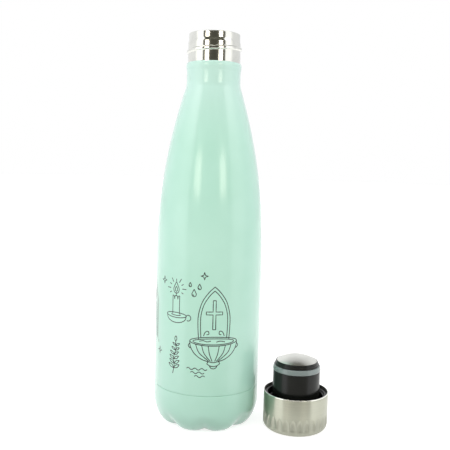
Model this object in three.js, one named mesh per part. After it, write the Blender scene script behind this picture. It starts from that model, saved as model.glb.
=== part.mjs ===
// A double-walled steel bottle for holy water, with its screw cap taken off and stood beside it, mouth up.
// Millimetres, +Z up. The origin is on the standing plane, under the bottle's axis. -Y is the front.
import * as THREE from "three";

// Bottle, outside
const body_radius = 34.25;
const seam_height = 26;
const straight_length = 85;
const shoulder_length = 109.5;
const neck_radius = 17.15;
const neck_fillet = 15;
const neck_length = 11.7;
const shell_bead = 0.45;
const shell_bead_length = 5.6;
const finish_height = 18.3;

// Sheet, joints and the space between the walls
const sheet = 0.4;
const vacuum_gap = 2.65;
const base_space = 6.5;
const fit_gap = 0.1;
const butt_gap = 0.3;
const spigot_length = 3;

// Petal base
const petal_count = 8;
const base_arc_width = 10;
const base_arc_height = 17;
const petal_notch = 4.4;
const petal_fade = 1.2;
const petal_sharpness = 1.6;
const foot_width = 1.5;
const recess_depth = 2;
const plate_depth = 1.2;
const plate_thickness = 0.6;

// Evacuation port and getter
const port_radius = 1;
const dimple_radius = 4.6;
const dimple_height = 2.2;
const port_bead_radius = 2.2;
const port_bead_height = 1.3;
const getter_radius = 3.5;
const getter_thickness = 2;
const clip_sheet = 0.4;
const clip_flange = 1.5;

// Inner flask
const flask_seam_height = 31;
const flask_corner = 11;
const throat_bore = 15.3;
const throat_fillet = 8;
const throat_length = 10;
const foil_thickness = 0.2;
const foil_margin = 6;

// Neck finish and its thread
const flare_length = 3.4;
const neck_wall = 0.6;
const lip_zone = 6.2;
const lip_inset = 0.4;
const lip_slope = 2;
const lip_roll = 0.35;
const thread_height = 0.85;
const thread_width = 2.7;
const thread_pitch = 5.4;
const thread_turns = 1.9;
const thread_lead = 0.3;
const thread_fade_in = 0.4;
const thread_fade_out = 0.3;
const thread_front_height = 8;
const neck_plain = 1.5;

// Cap
const cap_sheet = 0.6;
const cap_corner = 4.2;
const cap_hem = 0.3;
const flute_count = 30;
const flute_depth = 0.45;
const flute_low = 3.4;
const flute_high = 11.6;
const thread_clearance = 0.5;
const liner_wall = 2.05;
const liner_floor = 1.8;
const liner_inset = 1.6;
const lip_clearance = 0.7;
const stop_height = 4.7;
const liner_thread_begin = THREE.MathUtils.degToRad(130);
const liner_thread_drop = 3.2;
const liner_thread_turns = 1.4;
const liner_thread_height = 0.7;
const liner_thread_width = 2.2;

// Plug and seal
const plug_clearance = 0.25;
const plug_draft = 0.15;
const plug_wall = 2.6;
const seal_reach = 13.7;
const seal_height = 3.2;
const seal_squeeze = 0.05;
const seal_taper = 0.5;
const seal_depth = 1.5;
const tip_height = 2.8;
const tip_draw = 2;
const tip_draws = [0.4, 0.62, 0.84];
const tip_skirt = 4;
const skirt_wall = 1.4;
const tip_ridge = 0.25;
const disc_margin = 0.25;
const disc_thickness = 0.6;
const disc_seat = 0.6;
const disc_dome = 3.4;
const spigot_wall = 1.6;
const spigot_height = 5;
const foam_gap = 0.5;

// Where the cap stands
const cap_spacing = 4.85;
const cap_bearing = THREE.MathUtils.degToRad(-12.2);

// Facets round the axis
const shell_facets = 48;
const flask_facets = 32;
const neck_facets = 40;
const cap_facets = 2 * flute_count;
const liner_facets = 36;
const plug_facets = 32;
const small_facets = 20;

// Sizes that follow
const front = -Math.PI / 2;
const shoulder_height = seam_height + straight_length;
const neck_height = shoulder_height + shoulder_length;
const shell_top = neck_height + neck_length;
const bottle_height = shell_top + finish_height;
const draw_in = body_radius - neck_radius;
const shoulder_arc =
  (draw_in ** 2 + shoulder_length ** 2) / (2 * draw_in) - neck_fillet;
const foot_radius = body_radius - base_arc_width;
const foot_valley_radius = foot_radius - petal_notch;
const recess_radius = foot_valley_radius - foot_width;
const port_height = recess_depth + dimple_height;
const flask_inset = sheet + vacuum_gap;
const flask_radius = body_radius - flask_inset;
const flask_bottom = recess_depth + sheet + base_space;
const throat_radius = throat_bore + sheet;
const finish_radius = neck_radius - sheet - fit_gap;
const lip_radius = finish_radius - lip_inset;
const lip_base = bottle_height - lip_zone;
const thread_crest = finish_radius + thread_height;
const liner_bore = thread_crest + thread_clearance;
const liner_radius = liner_bore + liner_wall;
const cap_bore = liner_radius + fit_gap;
const cap_radius = cap_bore + cap_sheet;
const liner_base = cap_sheet + fit_gap;
const stop_top = liner_base + stop_height;
const cap_height = stop_top + lip_clearance + finish_height;
const plug_radius = throat_bore - plug_clearance;
const plug_bore = plug_radius - plug_wall;
const well_radius = plug_radius + plug_draft + plug_clearance;
const seal_bed_radius = plug_radius - seal_depth;
const seal_base = cap_height + seal_reach;
const seal_top = seal_base + seal_height;
const tip_base = seal_top + fit_gap;
const tip_top = tip_base + tip_height;
const disc_radius = plug_radius - tip_draw - disc_margin;

// A point of a profile: radius and height.
function at(radius, height) {
  return new THREE.Vector2(radius, height);
}

// Points on an arc from one angle to another, both ends included.
function arc(centre, radius, from, to, steps) {
  return Array.from({ length: steps + 1 }, (_, i) => {
    const angle = from + ((to - from) * i) / steps;
    return at(
      centre.x + radius * Math.cos(angle),
      centre.y + radius * Math.sin(angle),
    );
  });
}

// A solid of revolution whose profile runs anticlockwise and closes on itself, or begins and ends on the axis.
// Shape may move each point of the profile as it goes round.
function turned(profile, facets, shape = (point) => point) {
  const positions = [];
  const rings = profile.map((point) => {
    const on_axis = point.x === 0;
    const first = positions.length / 3;
    for (let j = 0; j < (on_axis ? 1 : facets); j++) {
      const angle = front + (2 * Math.PI * j) / facets;
      const moved = shape(point, angle);
      positions.push(
        moved.x * Math.cos(angle),
        moved.x * Math.sin(angle),
        moved.y,
      );
    }
    return { first, on_axis };
  });
  const corner = (ring, j) => ring.first + (ring.on_axis ? 0 : j % facets);
  const index = [];
  const last = rings.length - (rings[0].on_axis ? 1 : 0);
  for (let i = 0; i < last; i++) {
    const low = rings[i];
    const high = rings[(i + 1) % rings.length];
    for (let j = 0; j < facets; j++) {
      if (!low.on_axis)
        index.push(corner(low, j), corner(low, j + 1), corner(high, j + 1));
      if (!high.on_axis)
        index.push(corner(low, j), corner(high, j + 1), corner(high, j));
    }
  }
  const geometry = new THREE.BufferGeometry();
  geometry.setAttribute(
    "position",
    new THREE.Float32BufferAttribute(positions, 3),
  );
  geometry.setIndex(index);
  geometry.computeVertexNormals();
  return geometry;
}

function named(name, geometry, material) {
  const mesh = new THREE.Mesh(geometry, material);
  mesh.name = name;
  return mesh;
}

// The body's surface at a depth under the paint: straight side, long shoulder arc and the fillet up to a throat.
function shoulder(depth, throat, fillet, arc_steps, fillet_steps) {
  const centre = at(body_radius - shoulder_arc, shoulder_height);
  const radius = shoulder_arc - depth;
  const reach = throat + fillet - centre.x;
  const rise = Math.sqrt((radius + fillet) ** 2 - reach ** 2);
  const lean = Math.atan2(rise, reach);
  const fillet_centre = at(throat + fillet, shoulder_height + rise);
  return [
    ...arc(centre, radius, 0, lean, arc_steps),
    ...arc(
      fillet_centre,
      fillet,
      Math.PI + lean,
      Math.PI,
      fillet_steps,
    ).slice(1),
  ];
}

function outerShell() {
  const bead_foot = shell_top - shell_bead_length;
  const bore = neck_radius - sheet;
  const outside = [
    at(body_radius, seam_height),
    ...shoulder(0, neck_radius, neck_fillet, 8, 3),
    at(neck_radius, bead_foot),
    at(neck_radius + 0.7 * shell_bead, bead_foot + 0.3 * shell_bead_length),
    at(neck_radius + shell_bead, bead_foot + 0.55 * shell_bead_length),
    at(neck_radius + 0.8 * shell_bead, bead_foot + 0.8 * shell_bead_length),
    at(neck_radius - 0.2 * sheet, shell_top),
  ];
  const inside = [
    at(body_radius - sheet, seam_height),
    ...shoulder(sheet, bore, neck_fillet + sheet, 8, 3),
    at(bore, shell_top),
  ];
  return turned([...outside, ...inside.reverse()], shell_facets);
}

// How far a direction is into the valley between two petals: 1 in the valley, 0 on a petal's crown.
function valley(angle) {
  const wave = Math.abs(Math.sin((petal_count * (angle - front)) / 2));
  return (1 - wave) ** petal_sharpness;
}

// The base's corner at a depth under the paint. Each point also says how far a valley draws it in.
function baseCorner(depth, steps) {
  return Array.from({ length: steps + 1 }, (_, i) => {
    const turn = (Math.PI / 2) * (i / steps);
    const c = i === steps ? 0 : Math.cos(turn);
    const point = at(
      foot_radius + (base_arc_width - depth) * c,
      base_arc_height - (base_arc_height - depth) * Math.sin(turn),
    );
    point.notch = petal_notch * (1 - c) ** petal_fade;
    return point;
  });
}

function baseCup() {
  const web = recess_depth + sheet;
  const spigot_radius = body_radius - sheet - fit_gap;
  const seam = seam_height - butt_gap;
  const under = [
    at(port_radius, port_height),
    at(dimple_radius - sheet, port_height),
    at(dimple_radius, recess_depth),
    at(recess_radius - fit_gap, recess_depth),
    at(recess_radius, 0),
  ];
  const outside = [
    ...baseCorner(0, 6).reverse(),
    at(body_radius, seam),
    at(spigot_radius, seam),
    at(spigot_radius, seam + spigot_length),
  ];
  const inside = [
    at(spigot_radius - sheet, seam + spigot_length),
    at(spigot_radius - sheet, seam - sheet),
    at(body_radius - sheet, seam - 3 * sheet),
    ...baseCorner(sheet, 6),
    at(recess_radius + sheet, sheet),
    at(recess_radius + sheet - fit_gap, web),
    at(dimple_radius + sheet, web),
    at(dimple_radius, port_height + sheet),
    at(port_radius, port_height + sheet),
  ];
  return turned([...under, ...outside, ...inside], shell_facets, (p, angle) =>
    at(p.x - (p.notch ?? 0) * valley(angle), p.y),
  );
}

function basePlate() {
  const radius = recess_radius - 2 * fit_gap;
  const top = plate_depth + plate_thickness;
  return turned(
    [
      at(0, plate_depth),
      at(radius - 0.5 * plate_thickness, plate_depth),
      at(radius - fit_gap, plate_depth + 0.5 * plate_thickness),
      at(radius - fit_gap, top),
      at(0, top),
    ],
    flask_facets,
  );
}

// The bead that closes the port sits in the dimple, under the hole.
function portBead() {
  const top = port_height - fit_gap;
  return turned(
    [
      at(0, top - port_bead_height),
      at(0.6 * port_bead_radius, top - 0.85 * port_bead_height),
      at(port_bead_radius, top - 0.3 * port_bead_height),
      at(port_bead_radius, top),
      at(0, top),
    ],
    small_facets,
  );
}

function innerFlask() {
  const outside = [
    at(flask_radius, flask_seam_height),
    ...shoulder(flask_inset, throat_radius, throat_fillet, 7, 2),
  ];
  const inside = [
    at(flask_radius - sheet, flask_seam_height),
    ...shoulder(flask_inset + sheet, throat_bore, throat_fillet + sheet, 7, 2),
  ];
  const top = throatTop();
  outside.push(at(throat_radius, top));
  inside.push(at(throat_bore, top));
  return turned([...outside, ...inside.reverse()], flask_facets);
}

// The throat ends where the neck ring is welded on.
function throatTop() {
  const start = shoulder(flask_inset, throat_radius, throat_fillet, 1, 1).at(-1);
  return start.y + throat_length;
}

function innerBase() {
  const seam = flask_seam_height - butt_gap;
  const spigot_radius = flask_radius - sheet - fit_gap;
  const centre = at(flask_radius - flask_corner, flask_bottom + flask_corner);
  const outside = [
    at(0, flask_bottom),
    ...arc(centre, flask_corner, front, 0, 3),
    at(flask_radius, seam),
    at(spigot_radius, seam),
    at(spigot_radius, seam + spigot_length),
  ];
  const inside = [
    at(spigot_radius - sheet, seam + spigot_length),
    at(spigot_radius - sheet, seam - sheet),
    at(flask_radius - sheet, seam - 3 * sheet),
    ...arc(centre, flask_corner - sheet, 0, front, 3),
    at(0, flask_bottom + sheet),
  ];
  return turned([...outside, ...inside], flask_facets);
}

// Reflecting foil wrapped round the straight part of the inner flask.
function reflectorFoil() {
  const low = flask_seam_height + foil_margin;
  const high = shoulder_height - foil_margin;
  const inner = flask_radius + fit_gap;
  const outer = inner + foil_thickness;
  return turned(
    [at(inner, low), at(outer, low), at(outer, high), at(inner, high)],
    flask_facets,
  );
}

// The getter hangs under the inner base in a clip with a turned-in lip.
const clip_top = flask_bottom - fit_gap;
const clip_bore = getter_radius + fit_gap;
const clip_lip = clip_top - getter_thickness - 2 * fit_gap - clip_sheet;

function getterClip() {
  const wall = clip_bore + clip_sheet;
  return turned(
    [
      at(0.7 * getter_radius, clip_lip),
      at(wall, clip_lip),
      at(wall, clip_top - clip_sheet),
      at(wall + clip_flange, clip_top - clip_sheet),
      at(wall + clip_flange, clip_top),
      at(clip_bore, clip_top),
      at(clip_bore, clip_lip + clip_sheet),
      at(0.7 * getter_radius, clip_lip + clip_sheet),
    ],
    small_facets,
  );
}

function getter() {
  const low = clip_lip + clip_sheet + fit_gap;
  return turned(
    [
      at(0, low),
      at(getter_radius, low),
      at(getter_radius, low + getter_thickness),
      at(0, low + getter_thickness),
    ],
    small_facets,
  );
}

// How high a helical ridge stands at a point: its line falls by one pitch a turn, clockwise seen from above.
function ridge(angle, height, thread) {
  const turned_by = ((front + thread.begin - angle) / (2 * Math.PI) + 2) % 1;
  let highest = 0;
  for (let turn = turned_by; turn < thread.turns; turn++) {
    const line = thread.start - thread.pitch * turn;
    const across = Math.abs(height - line) / (thread.width / 2);
    const fade = Math.min(
      1,
      Math.max(0, turn - thread.lead) / thread.fade_in,
      (thread.turns - turn) / thread.fade_out,
    );
    const profile = across < 1 ? Math.cos((across * Math.PI) / 2) ** 0.8 : 0;
    highest = Math.max(highest, thread.height * fade * profile);
  }
  return highest;
}

const neck_thread = {
  begin: 0,
  start: shell_top + thread_front_height + thread_pitch,
  pitch: thread_pitch,
  turns: thread_turns,
  width: thread_width,
  height: thread_height,
  lead: thread_lead,
  fade_in: thread_fade_in,
  fade_out: thread_fade_out,
};

// The bare neck: flared foot inside the shell's bead, threaded middle and a narrower rolled lip.
function threadedNeck() {
  const foot = throatTop() + butt_gap;
  const flared = foot + flare_length;
  const first_row = shell_top + neck_plain + 1.5;
  const rows = 10;
  const row_gap = (lip_base - first_row) / rows;
  const threaded = Array.from({ length: rows + 1 }, (_, i) =>
    at(finish_radius, first_row + row_gap * i),
  );
  const profile = [
    at(throat_radius, foot),
    at(finish_radius, flared),
    at(finish_radius, shell_top + neck_plain),
    ...threaded,
    at(lip_radius, lip_base + lip_slope),
    at(lip_radius, bottle_height - lip_roll),
    at(lip_radius - lip_roll, bottle_height),
    at(lip_radius - neck_wall - lip_roll, bottle_height),
    at(lip_radius - neck_wall - 0.5 * lip_roll, bottle_height - 2 * lip_roll),
    at(lip_radius - neck_wall, lip_base),
    at(finish_radius - neck_wall, lip_base - 1.5),
    at(finish_radius - neck_wall, flared),
    at(throat_bore, foot),
  ];
  const threads = new Set(threaded);
  return turned(profile, neck_facets, (p, angle) =>
    threads.has(p) ? at(p.x + ridge(angle, p.y, neck_thread), p.y) : p,
  );
}

// How deep a flute is cut at a point on the cap's side: pointed at its upper end.
function flute(angle, height) {
  const along = (height - flute_low) / (flute_high - flute_low);
  if (along <= 0 || along >= 1) return 0;
  const across = Math.abs(Math.sin((flute_count * (angle - front)) / 2));
  const reach = Math.min(1, 4 * along, 3.2 * (1 - along));
  return flute_depth * reach * (1 - across ** 2);
}

// The pressed steel cup of the cap, standing on its closed end.
function capShell() {
  const outer_corner = at(cap_radius - cap_corner, cap_corner);
  const inner_corner = cap_corner - cap_sheet;
  const flute_rows = [0.15, 0.4, 0.7, 0.88].map((share) =>
    at(cap_radius, flute_low + share * (flute_high - flute_low)),
  );
  const profile = [
    at(0, 0),
    ...arc(outer_corner, cap_corner, front, 0, 3),
    ...flute_rows,
    at(cap_radius, flute_high),
    at(cap_radius, cap_height - cap_hem),
    at(cap_radius - cap_hem, cap_height),
    at(cap_bore, cap_height),
    ...arc(outer_corner, inner_corner, 0, front, 2),
    at(0, cap_sheet),
  ];
  const cut = new Set(flute_rows);
  return turned(profile, cap_facets, (p, angle) =>
    cut.has(p) ? at(p.x - flute(angle, p.y), p.y) : p,
  );
}

// The liner's own ridge begins near the mouth, at the right-hand side, and falls away from it.
const liner_thread = {
  begin: liner_thread_begin,
  start: cap_height - liner_thread_drop,
  pitch: thread_pitch,
  turns: liner_thread_turns,
  width: liner_thread_width,
  height: liner_thread_height,
  lead: -0.1,
  fade_in: 0.2,
  fade_out: 0.2,
};

// The moulded liner: threaded wall, floor, stop for the bottle's lip and a spigot that carries the plug.
function capLiner() {
  const floor = liner_base + liner_floor;
  const corner = cap_corner - cap_sheet;
  const top = cap_height - liner_inset;
  const rows = 10;
  const low_row = stop_top + 1.5;
  const threaded = Array.from({ length: rows + 1 }, (_, i) =>
    at(liner_bore, top - 1 - ((top - 1 - low_row) * i) / rows),
  );
  const profile = [
    at(0, liner_base),
    at(liner_radius - corner, liner_base),
    at(liner_radius, liner_base + corner),
    at(liner_radius, top),
    at(liner_bore + 0.4, top),
    ...threaded,
    at(liner_bore, stop_top),
    at(well_radius, stop_top),
    at(well_radius, floor),
    at(plug_bore - fit_gap, floor),
    at(plug_bore - fit_gap, floor + spigot_height),
    at(plug_bore - fit_gap - spigot_wall, floor + spigot_height),
    at(plug_bore - fit_gap - spigot_wall, floor),
    at(0, floor),
  ];
  const threads = new Set(threaded);
  return turned(profile, liner_facets, (p, angle) =>
    threads.has(p) ? at(p.x - ridge(angle, p.y, liner_thread), p.y) : p,
  );
}

// The hollow stopper, with a bed for the seal at its upper end.
function plugBody() {
  const foot = liner_base + liner_floor + fit_gap;
  const shoulder_top = seal_base - fit_gap;
  const bed_top = seal_top - tip_skirt / 4;
  return turned(
    [
      at(plug_bore, foot),
      at(plug_radius + plug_draft, foot),
      at(plug_radius, shoulder_top),
      at(seal_bed_radius, shoulder_top),
      at(seal_bed_radius, bed_top),
      at(plug_bore, bed_top),
    ],
    plug_facets,
  );
}

// A silicone band, wider at its foot, that wipes the throat's wall.
function sealRing() {
  const inner = seal_bed_radius + fit_gap;
  const outer = throat_bore + seal_squeeze;
  const crown = outer - seal_taper;
  return turned(
    [
      at(inner, seal_base),
      at(outer - 0.2, seal_base),
      at(outer, seal_base + 0.5),
      at(crown + 0.1, seal_top - 0.4),
      at(crown - 0.3, seal_top),
      at(inner, seal_top),
    ],
    plug_facets,
  );
}

// The stepped cap that closes the stopper, holds the seal in and carries the steel disc.
function plugTip() {
  const step = tip_height / tip_draws.length;
  const rims = tip_draws.map((share) => plug_radius - share * tip_draw);
  const skirt_radius = plug_bore - fit_gap;
  const seat = tip_top - disc_seat;
  const steps = rims.flatMap((rim, i) => [
    at(rim, tip_base + step * i),
    at(rim, tip_base + step * (i + 0.6)),
    at(rim - tip_ridge, tip_base + step * (i + 1)),
  ]);
  return turned(
    [
      at(0, tip_base),
      at(skirt_radius - skirt_wall, tip_base),
      at(skirt_radius - skirt_wall, tip_base - tip_skirt),
      at(skirt_radius, tip_base - tip_skirt),
      at(skirt_radius, tip_base),
      ...steps,
      at(disc_radius + fit_gap, tip_top),
      at(disc_radius + fit_gap, seat),
      at(0, seat),
    ],
    plug_facets,
  );
}

// The domed steel disc, pressed from sheet, stands on its rim in the tip.
function endDisc() {
  const base = tip_top - disc_seat + fit_gap;
  const ball = (disc_radius ** 2 + disc_dome ** 2) / (2 * disc_dome);
  const centre = tip_top + disc_dome - ball;
  const spread = Math.asin(disc_radius / ball);
  const inner_ball = ball - disc_thickness;
  const inner_radius = disc_radius - disc_thickness;
  const inner_spread = Math.asin(inner_radius / inner_ball);
  const dome = (radius, angle) =>
    [1, 0.75, 0.5, 0.25].map((share) =>
      at(
        radius * Math.sin(share * angle),
        centre + radius * Math.cos(share * angle),
      ),
    );
  return turned(
    [
      at(inner_radius, base),
      at(disc_radius, base),
      ...dome(ball, spread),
      at(0, centre + ball),
      at(0, centre + inner_ball),
      ...dome(inner_ball, inner_spread).reverse(),
    ],
    plug_facets,
  );
}

function plugFoam() {
  const radius = plug_bore - spigot_wall - 2 * foam_gap;
  const low = liner_base + liner_floor + foam_gap;
  const high = tip_base - foam_gap;
  return turned(
    [at(0, low), at(radius, low), at(radius, high), at(0, high)],
    small_facets,
  );
}

const paint = new THREE.MeshStandardMaterial({
  color: 0xb4e2cb,
  roughness: 0.32,
  metalness: 0,
});
const bare_steel = new THREE.MeshStandardMaterial({
  color: 0xc9c8c2,
  roughness: 0.18,
  metalness: 1,
});
const brushed_steel = new THREE.MeshStandardMaterial({
  color: 0xb9b7a9,
  roughness: 0.34,
  metalness: 1,
});
const black_plastic = new THREE.MeshStandardMaterial({
  color: 0x1c1d1d,
  roughness: 0.3,
  metalness: 0,
});
const silicone = new THREE.MeshStandardMaterial({
  color: 0x9aa4a6,
  roughness: 0.55,
  metalness: 0,
});
const foil_metal = new THREE.MeshStandardMaterial({
  color: 0xd4d6d8,
  roughness: 0.3,
  metalness: 1,
});
const foam = new THREE.MeshStandardMaterial({
  color: 0xf0efe8,
  roughness: 0.9,
  metalness: 0,
});
const sealing_glass = new THREE.MeshStandardMaterial({
  color: 0x3d3f3c,
  roughness: 0.2,
  metalness: 0,
});
const getter_metal = new THREE.MeshStandardMaterial({
  color: 0x6b6a66,
  roughness: 0.7,
  metalness: 1,
});

const bottle = new THREE.Group();
bottle.add(
  named("outer_shell", outerShell(), paint),
  named("base_cup", baseCup(), paint),
  named("base_plate", basePlate(), brushed_steel),
  named("port_bead", portBead(), sealing_glass),
  named("inner_flask", innerFlask(), brushed_steel),
  named("inner_base", innerBase(), brushed_steel),
  named("threaded_neck", threadedNeck(), bare_steel),
  named("reflector_foil", reflectorFoil(), foil_metal),
  named("getter_clip", getterClip(), brushed_steel),
  named("getter", getter(), getter_metal),
);

const cap = new THREE.Group();
cap.add(
  named("cap_shell", capShell(), brushed_steel),
  named("cap_liner", capLiner(), black_plastic),
  named("plug_body", plugBody(), black_plastic),
  named("seal_ring", sealRing(), silicone),
  named("plug_tip", plugTip(), black_plastic),
  named("end_disc", endDisc(), bare_steel),
  named("plug_foam", plugFoam(), foam),
);
const cap_distance = body_radius + cap_spacing + cap_radius;
cap.position.set(
  cap_distance * Math.cos(cap_bearing),
  cap_distance * Math.sin(cap_bearing),
  0,
);

const holy_water_bottle = new THREE.Group();
holy_water_bottle.add(bottle, cap);
export default holy_water_bottle;
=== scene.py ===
import math

import bpy
from bpy.props import FloatProperty, FloatVectorProperty, IntProperty, PointerProperty
from mathutils import Matrix, Vector


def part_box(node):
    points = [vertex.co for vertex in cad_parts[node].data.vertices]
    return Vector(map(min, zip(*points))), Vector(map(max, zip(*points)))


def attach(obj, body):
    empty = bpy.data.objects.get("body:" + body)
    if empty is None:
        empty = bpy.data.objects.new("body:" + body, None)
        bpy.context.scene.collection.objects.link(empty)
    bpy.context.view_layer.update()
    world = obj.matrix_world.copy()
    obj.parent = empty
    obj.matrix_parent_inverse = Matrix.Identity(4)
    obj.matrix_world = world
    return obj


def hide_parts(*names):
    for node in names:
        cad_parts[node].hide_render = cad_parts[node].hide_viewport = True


bl_info = {
    "name": "Holy water bottle",
    "version": (1, 0, 0),
    "blender": (4, 5, 0),
    "location": "View3D > Sidebar > Bottle",
    "description": "Dresses a painted steel bottle and its screw cap, and lights them for a picture",
    "category": "Add Mesh",
}

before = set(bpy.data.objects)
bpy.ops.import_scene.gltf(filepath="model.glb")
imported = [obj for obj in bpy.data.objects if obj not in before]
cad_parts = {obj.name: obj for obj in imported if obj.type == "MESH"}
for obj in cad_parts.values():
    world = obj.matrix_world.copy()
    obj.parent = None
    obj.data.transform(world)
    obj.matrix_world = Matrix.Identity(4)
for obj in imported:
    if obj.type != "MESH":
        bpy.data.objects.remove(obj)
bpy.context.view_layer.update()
MM = 0.001
FIT = 0.1 * MM  # gap between pieces that sit in one another
SEAM = 0.3 * MM  # gap between two shells where they are welded
SPIGOT = 3 * MM  # how far a base reaches up inside its shell


def half_width(node):
    low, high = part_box(node)
    return (high.x - low.x) / 2


def bottom(node):
    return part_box(node)[0].z


def top(node):
    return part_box(node)[1].z


def middle(node):
    low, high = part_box(node)
    return Vector(((low.x + high.x) / 2, (low.y + high.y) / 2, 0))


def length(name, description, default):
    return FloatProperty(name=name, description=description, default=default, unit="LENGTH", precision=5)


def share(name, description, default):
    return FloatProperty(name=name, description=description, default=default, precision=3)


def turn(name, description, degrees):
    return FloatProperty(name=name, description=description, default=math.radians(degrees), subtype="ANGLE")


def count(name, description, default):
    return IntProperty(name=name, description=description, default=default, min=1)


def light_of(red, green, blue):
    """The linear colour of a colour written in steps of 0 to 255."""
    shares = [v / 255 for v in (red, green, blue)]
    return tuple(s / 12.92 if s < 0.0404 else ((s + 0.055) / 1.055) ** 2.4 for s in shares)


def colour(name, description, red, green, blue):
    return FloatVectorProperty(
        name=name, description=description, default=light_of(red, green, blue),
        subtype="COLOR", size=3, min=0, max=1,
    )


class BottleSizes(bpy.types.PropertyGroup):
    radius: length("Body radius", "Radius of the straight part", half_width("outer_shell"))
    seam_height: length("Seam height", "Height of the line between shell and base", bottom("outer_shell"))
    shell_top: length("Shell top", "Height of the painted shell's upper edge", top("outer_shell"))
    straight_length: length("Straight length", "Straight side above the seam", 85 * MM)
    shoulder_length: length("Shoulder length", "Height over which the body draws in to the neck", 109.5 * MM)
    neck_radius: length("Neck radius", "Radius of the painted neck", 17.15 * MM)
    neck_fillet: length("Neck fillet", "Radius of the hollow between shoulder and neck", 15 * MM)
    bead_rise: length("Bead rise", "How far the shell swells at its upper edge", 0.45 * MM)
    bead_length: length("Bead length", "Height of that swelling", 5.6 * MM)
    sheet: length("Sheet", "Thickness of the steel sheet", 0.4 * MM)
    seam_groove: length("Seam groove", "Depth and half width of the line at the seam", 0.045 * MM)
    petals: count("Petals", "Petals of the pressed base", 8)
    corner_width: length("Corner width", "How far the base draws in", 10 * MM)
    corner_height: length("Corner height", "Height over which it draws in", 17 * MM)
    notch: length("Notch", "Depth of the valleys between the petals", 6.6 * MM)
    notch_height: length("Notch height", "Where the valleys end", 13.5 * MM)
    notch_fade: share("Notch fade", "How soon the valleys fade upwards", 1.5)
    notch_sharpness: share("Notch sharpness", "How narrow the valleys are", 1.5)
    notch_softness: share("Notch softness", "Rounding of the valleys' floor", 0.19)
    recess_radius: length("Recess radius", "Radius of the recess under the base", 18.35 * MM)
    recess_depth: length("Recess depth", "Depth of that recess", 2 * MM)
    plate_radius: length("Plate radius", "Radius of the plate in the recess", half_width("base_plate"))
    facets: count("Facets", "Facets round the body", 192)


class FlaskSizes(bpy.types.PropertyGroup):
    radius: length("Flask radius", "Outer radius of the inner flask", half_width("inner_flask"))
    seam_height: length("Flask seam", "Height of the inner flask's seam", bottom("inner_flask"))
    top: length("Throat top", "Upper end of the throat", top("inner_flask"))
    floor: length("Flask floor", "Underside of the inner base", bottom("inner_base"))
    corner: length("Flask corner", "Radius of the inner base's corner", 11 * MM)
    throat: length("Throat", "Outer radius of the throat", 15.7 * MM)
    throat_fillet: length("Throat fillet", "Radius of the hollow under the throat", 8 * MM)
    facets: count("Facets", "Facets round the flask", 128)


class NeckSizes(bpy.types.PropertyGroup):
    foot: length("Foot", "Lower end of the bare neck", bottom("threaded_neck"))
    top: length("Top", "Height of the bottle's lip", top("threaded_neck"))
    radius: length("Radius", "Outer radius of the bare neck", 16.65 * MM)
    foot_radius: length("Foot radius", "Outer radius where it meets the throat", 15.7 * MM)
    flare: length("Flare", "Height of the flared foot", 3.4 * MM)
    wall: length("Wall", "Wall of the neck", 0.6 * MM)
    lip_zone: length("Lip zone", "Height of the narrower part under the lip", 6.2 * MM)
    lip_inset: length("Lip inset", "How much narrower that part is", 0.4 * MM)
    lip_slope: length("Lip slope", "Height over which it narrows", 2.4 * MM)
    lip_roll: length("Lip roll", "Radius of the lip's edge", 0.35 * MM)
    thread_rise: length("Thread rise", "Height of the thread's ridge", 0.85 * MM)
    thread_width: length("Thread width", "Width of the ridge", 2.7 * MM)
    thread_pitch: length("Thread pitch", "Fall of the ridge in one turn", 5.4 * MM)
    thread_turns: share("Thread turns", "Turns of the ridge", 1.78)
    thread_front: length("Thread at the front", "Height of its lower turn there, over the shell", 8 * MM)
    lead: share("Thread lead", "Turns before the ridge rises", 0.3)
    fade_in: share("Fade in", "Turns in which the ridge rises", 0.4)
    fade_out: share("Fade out", "Turns in which the ridge ends", 0.3)
    facets: count("Facets", "Facets round the neck", 192)


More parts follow.
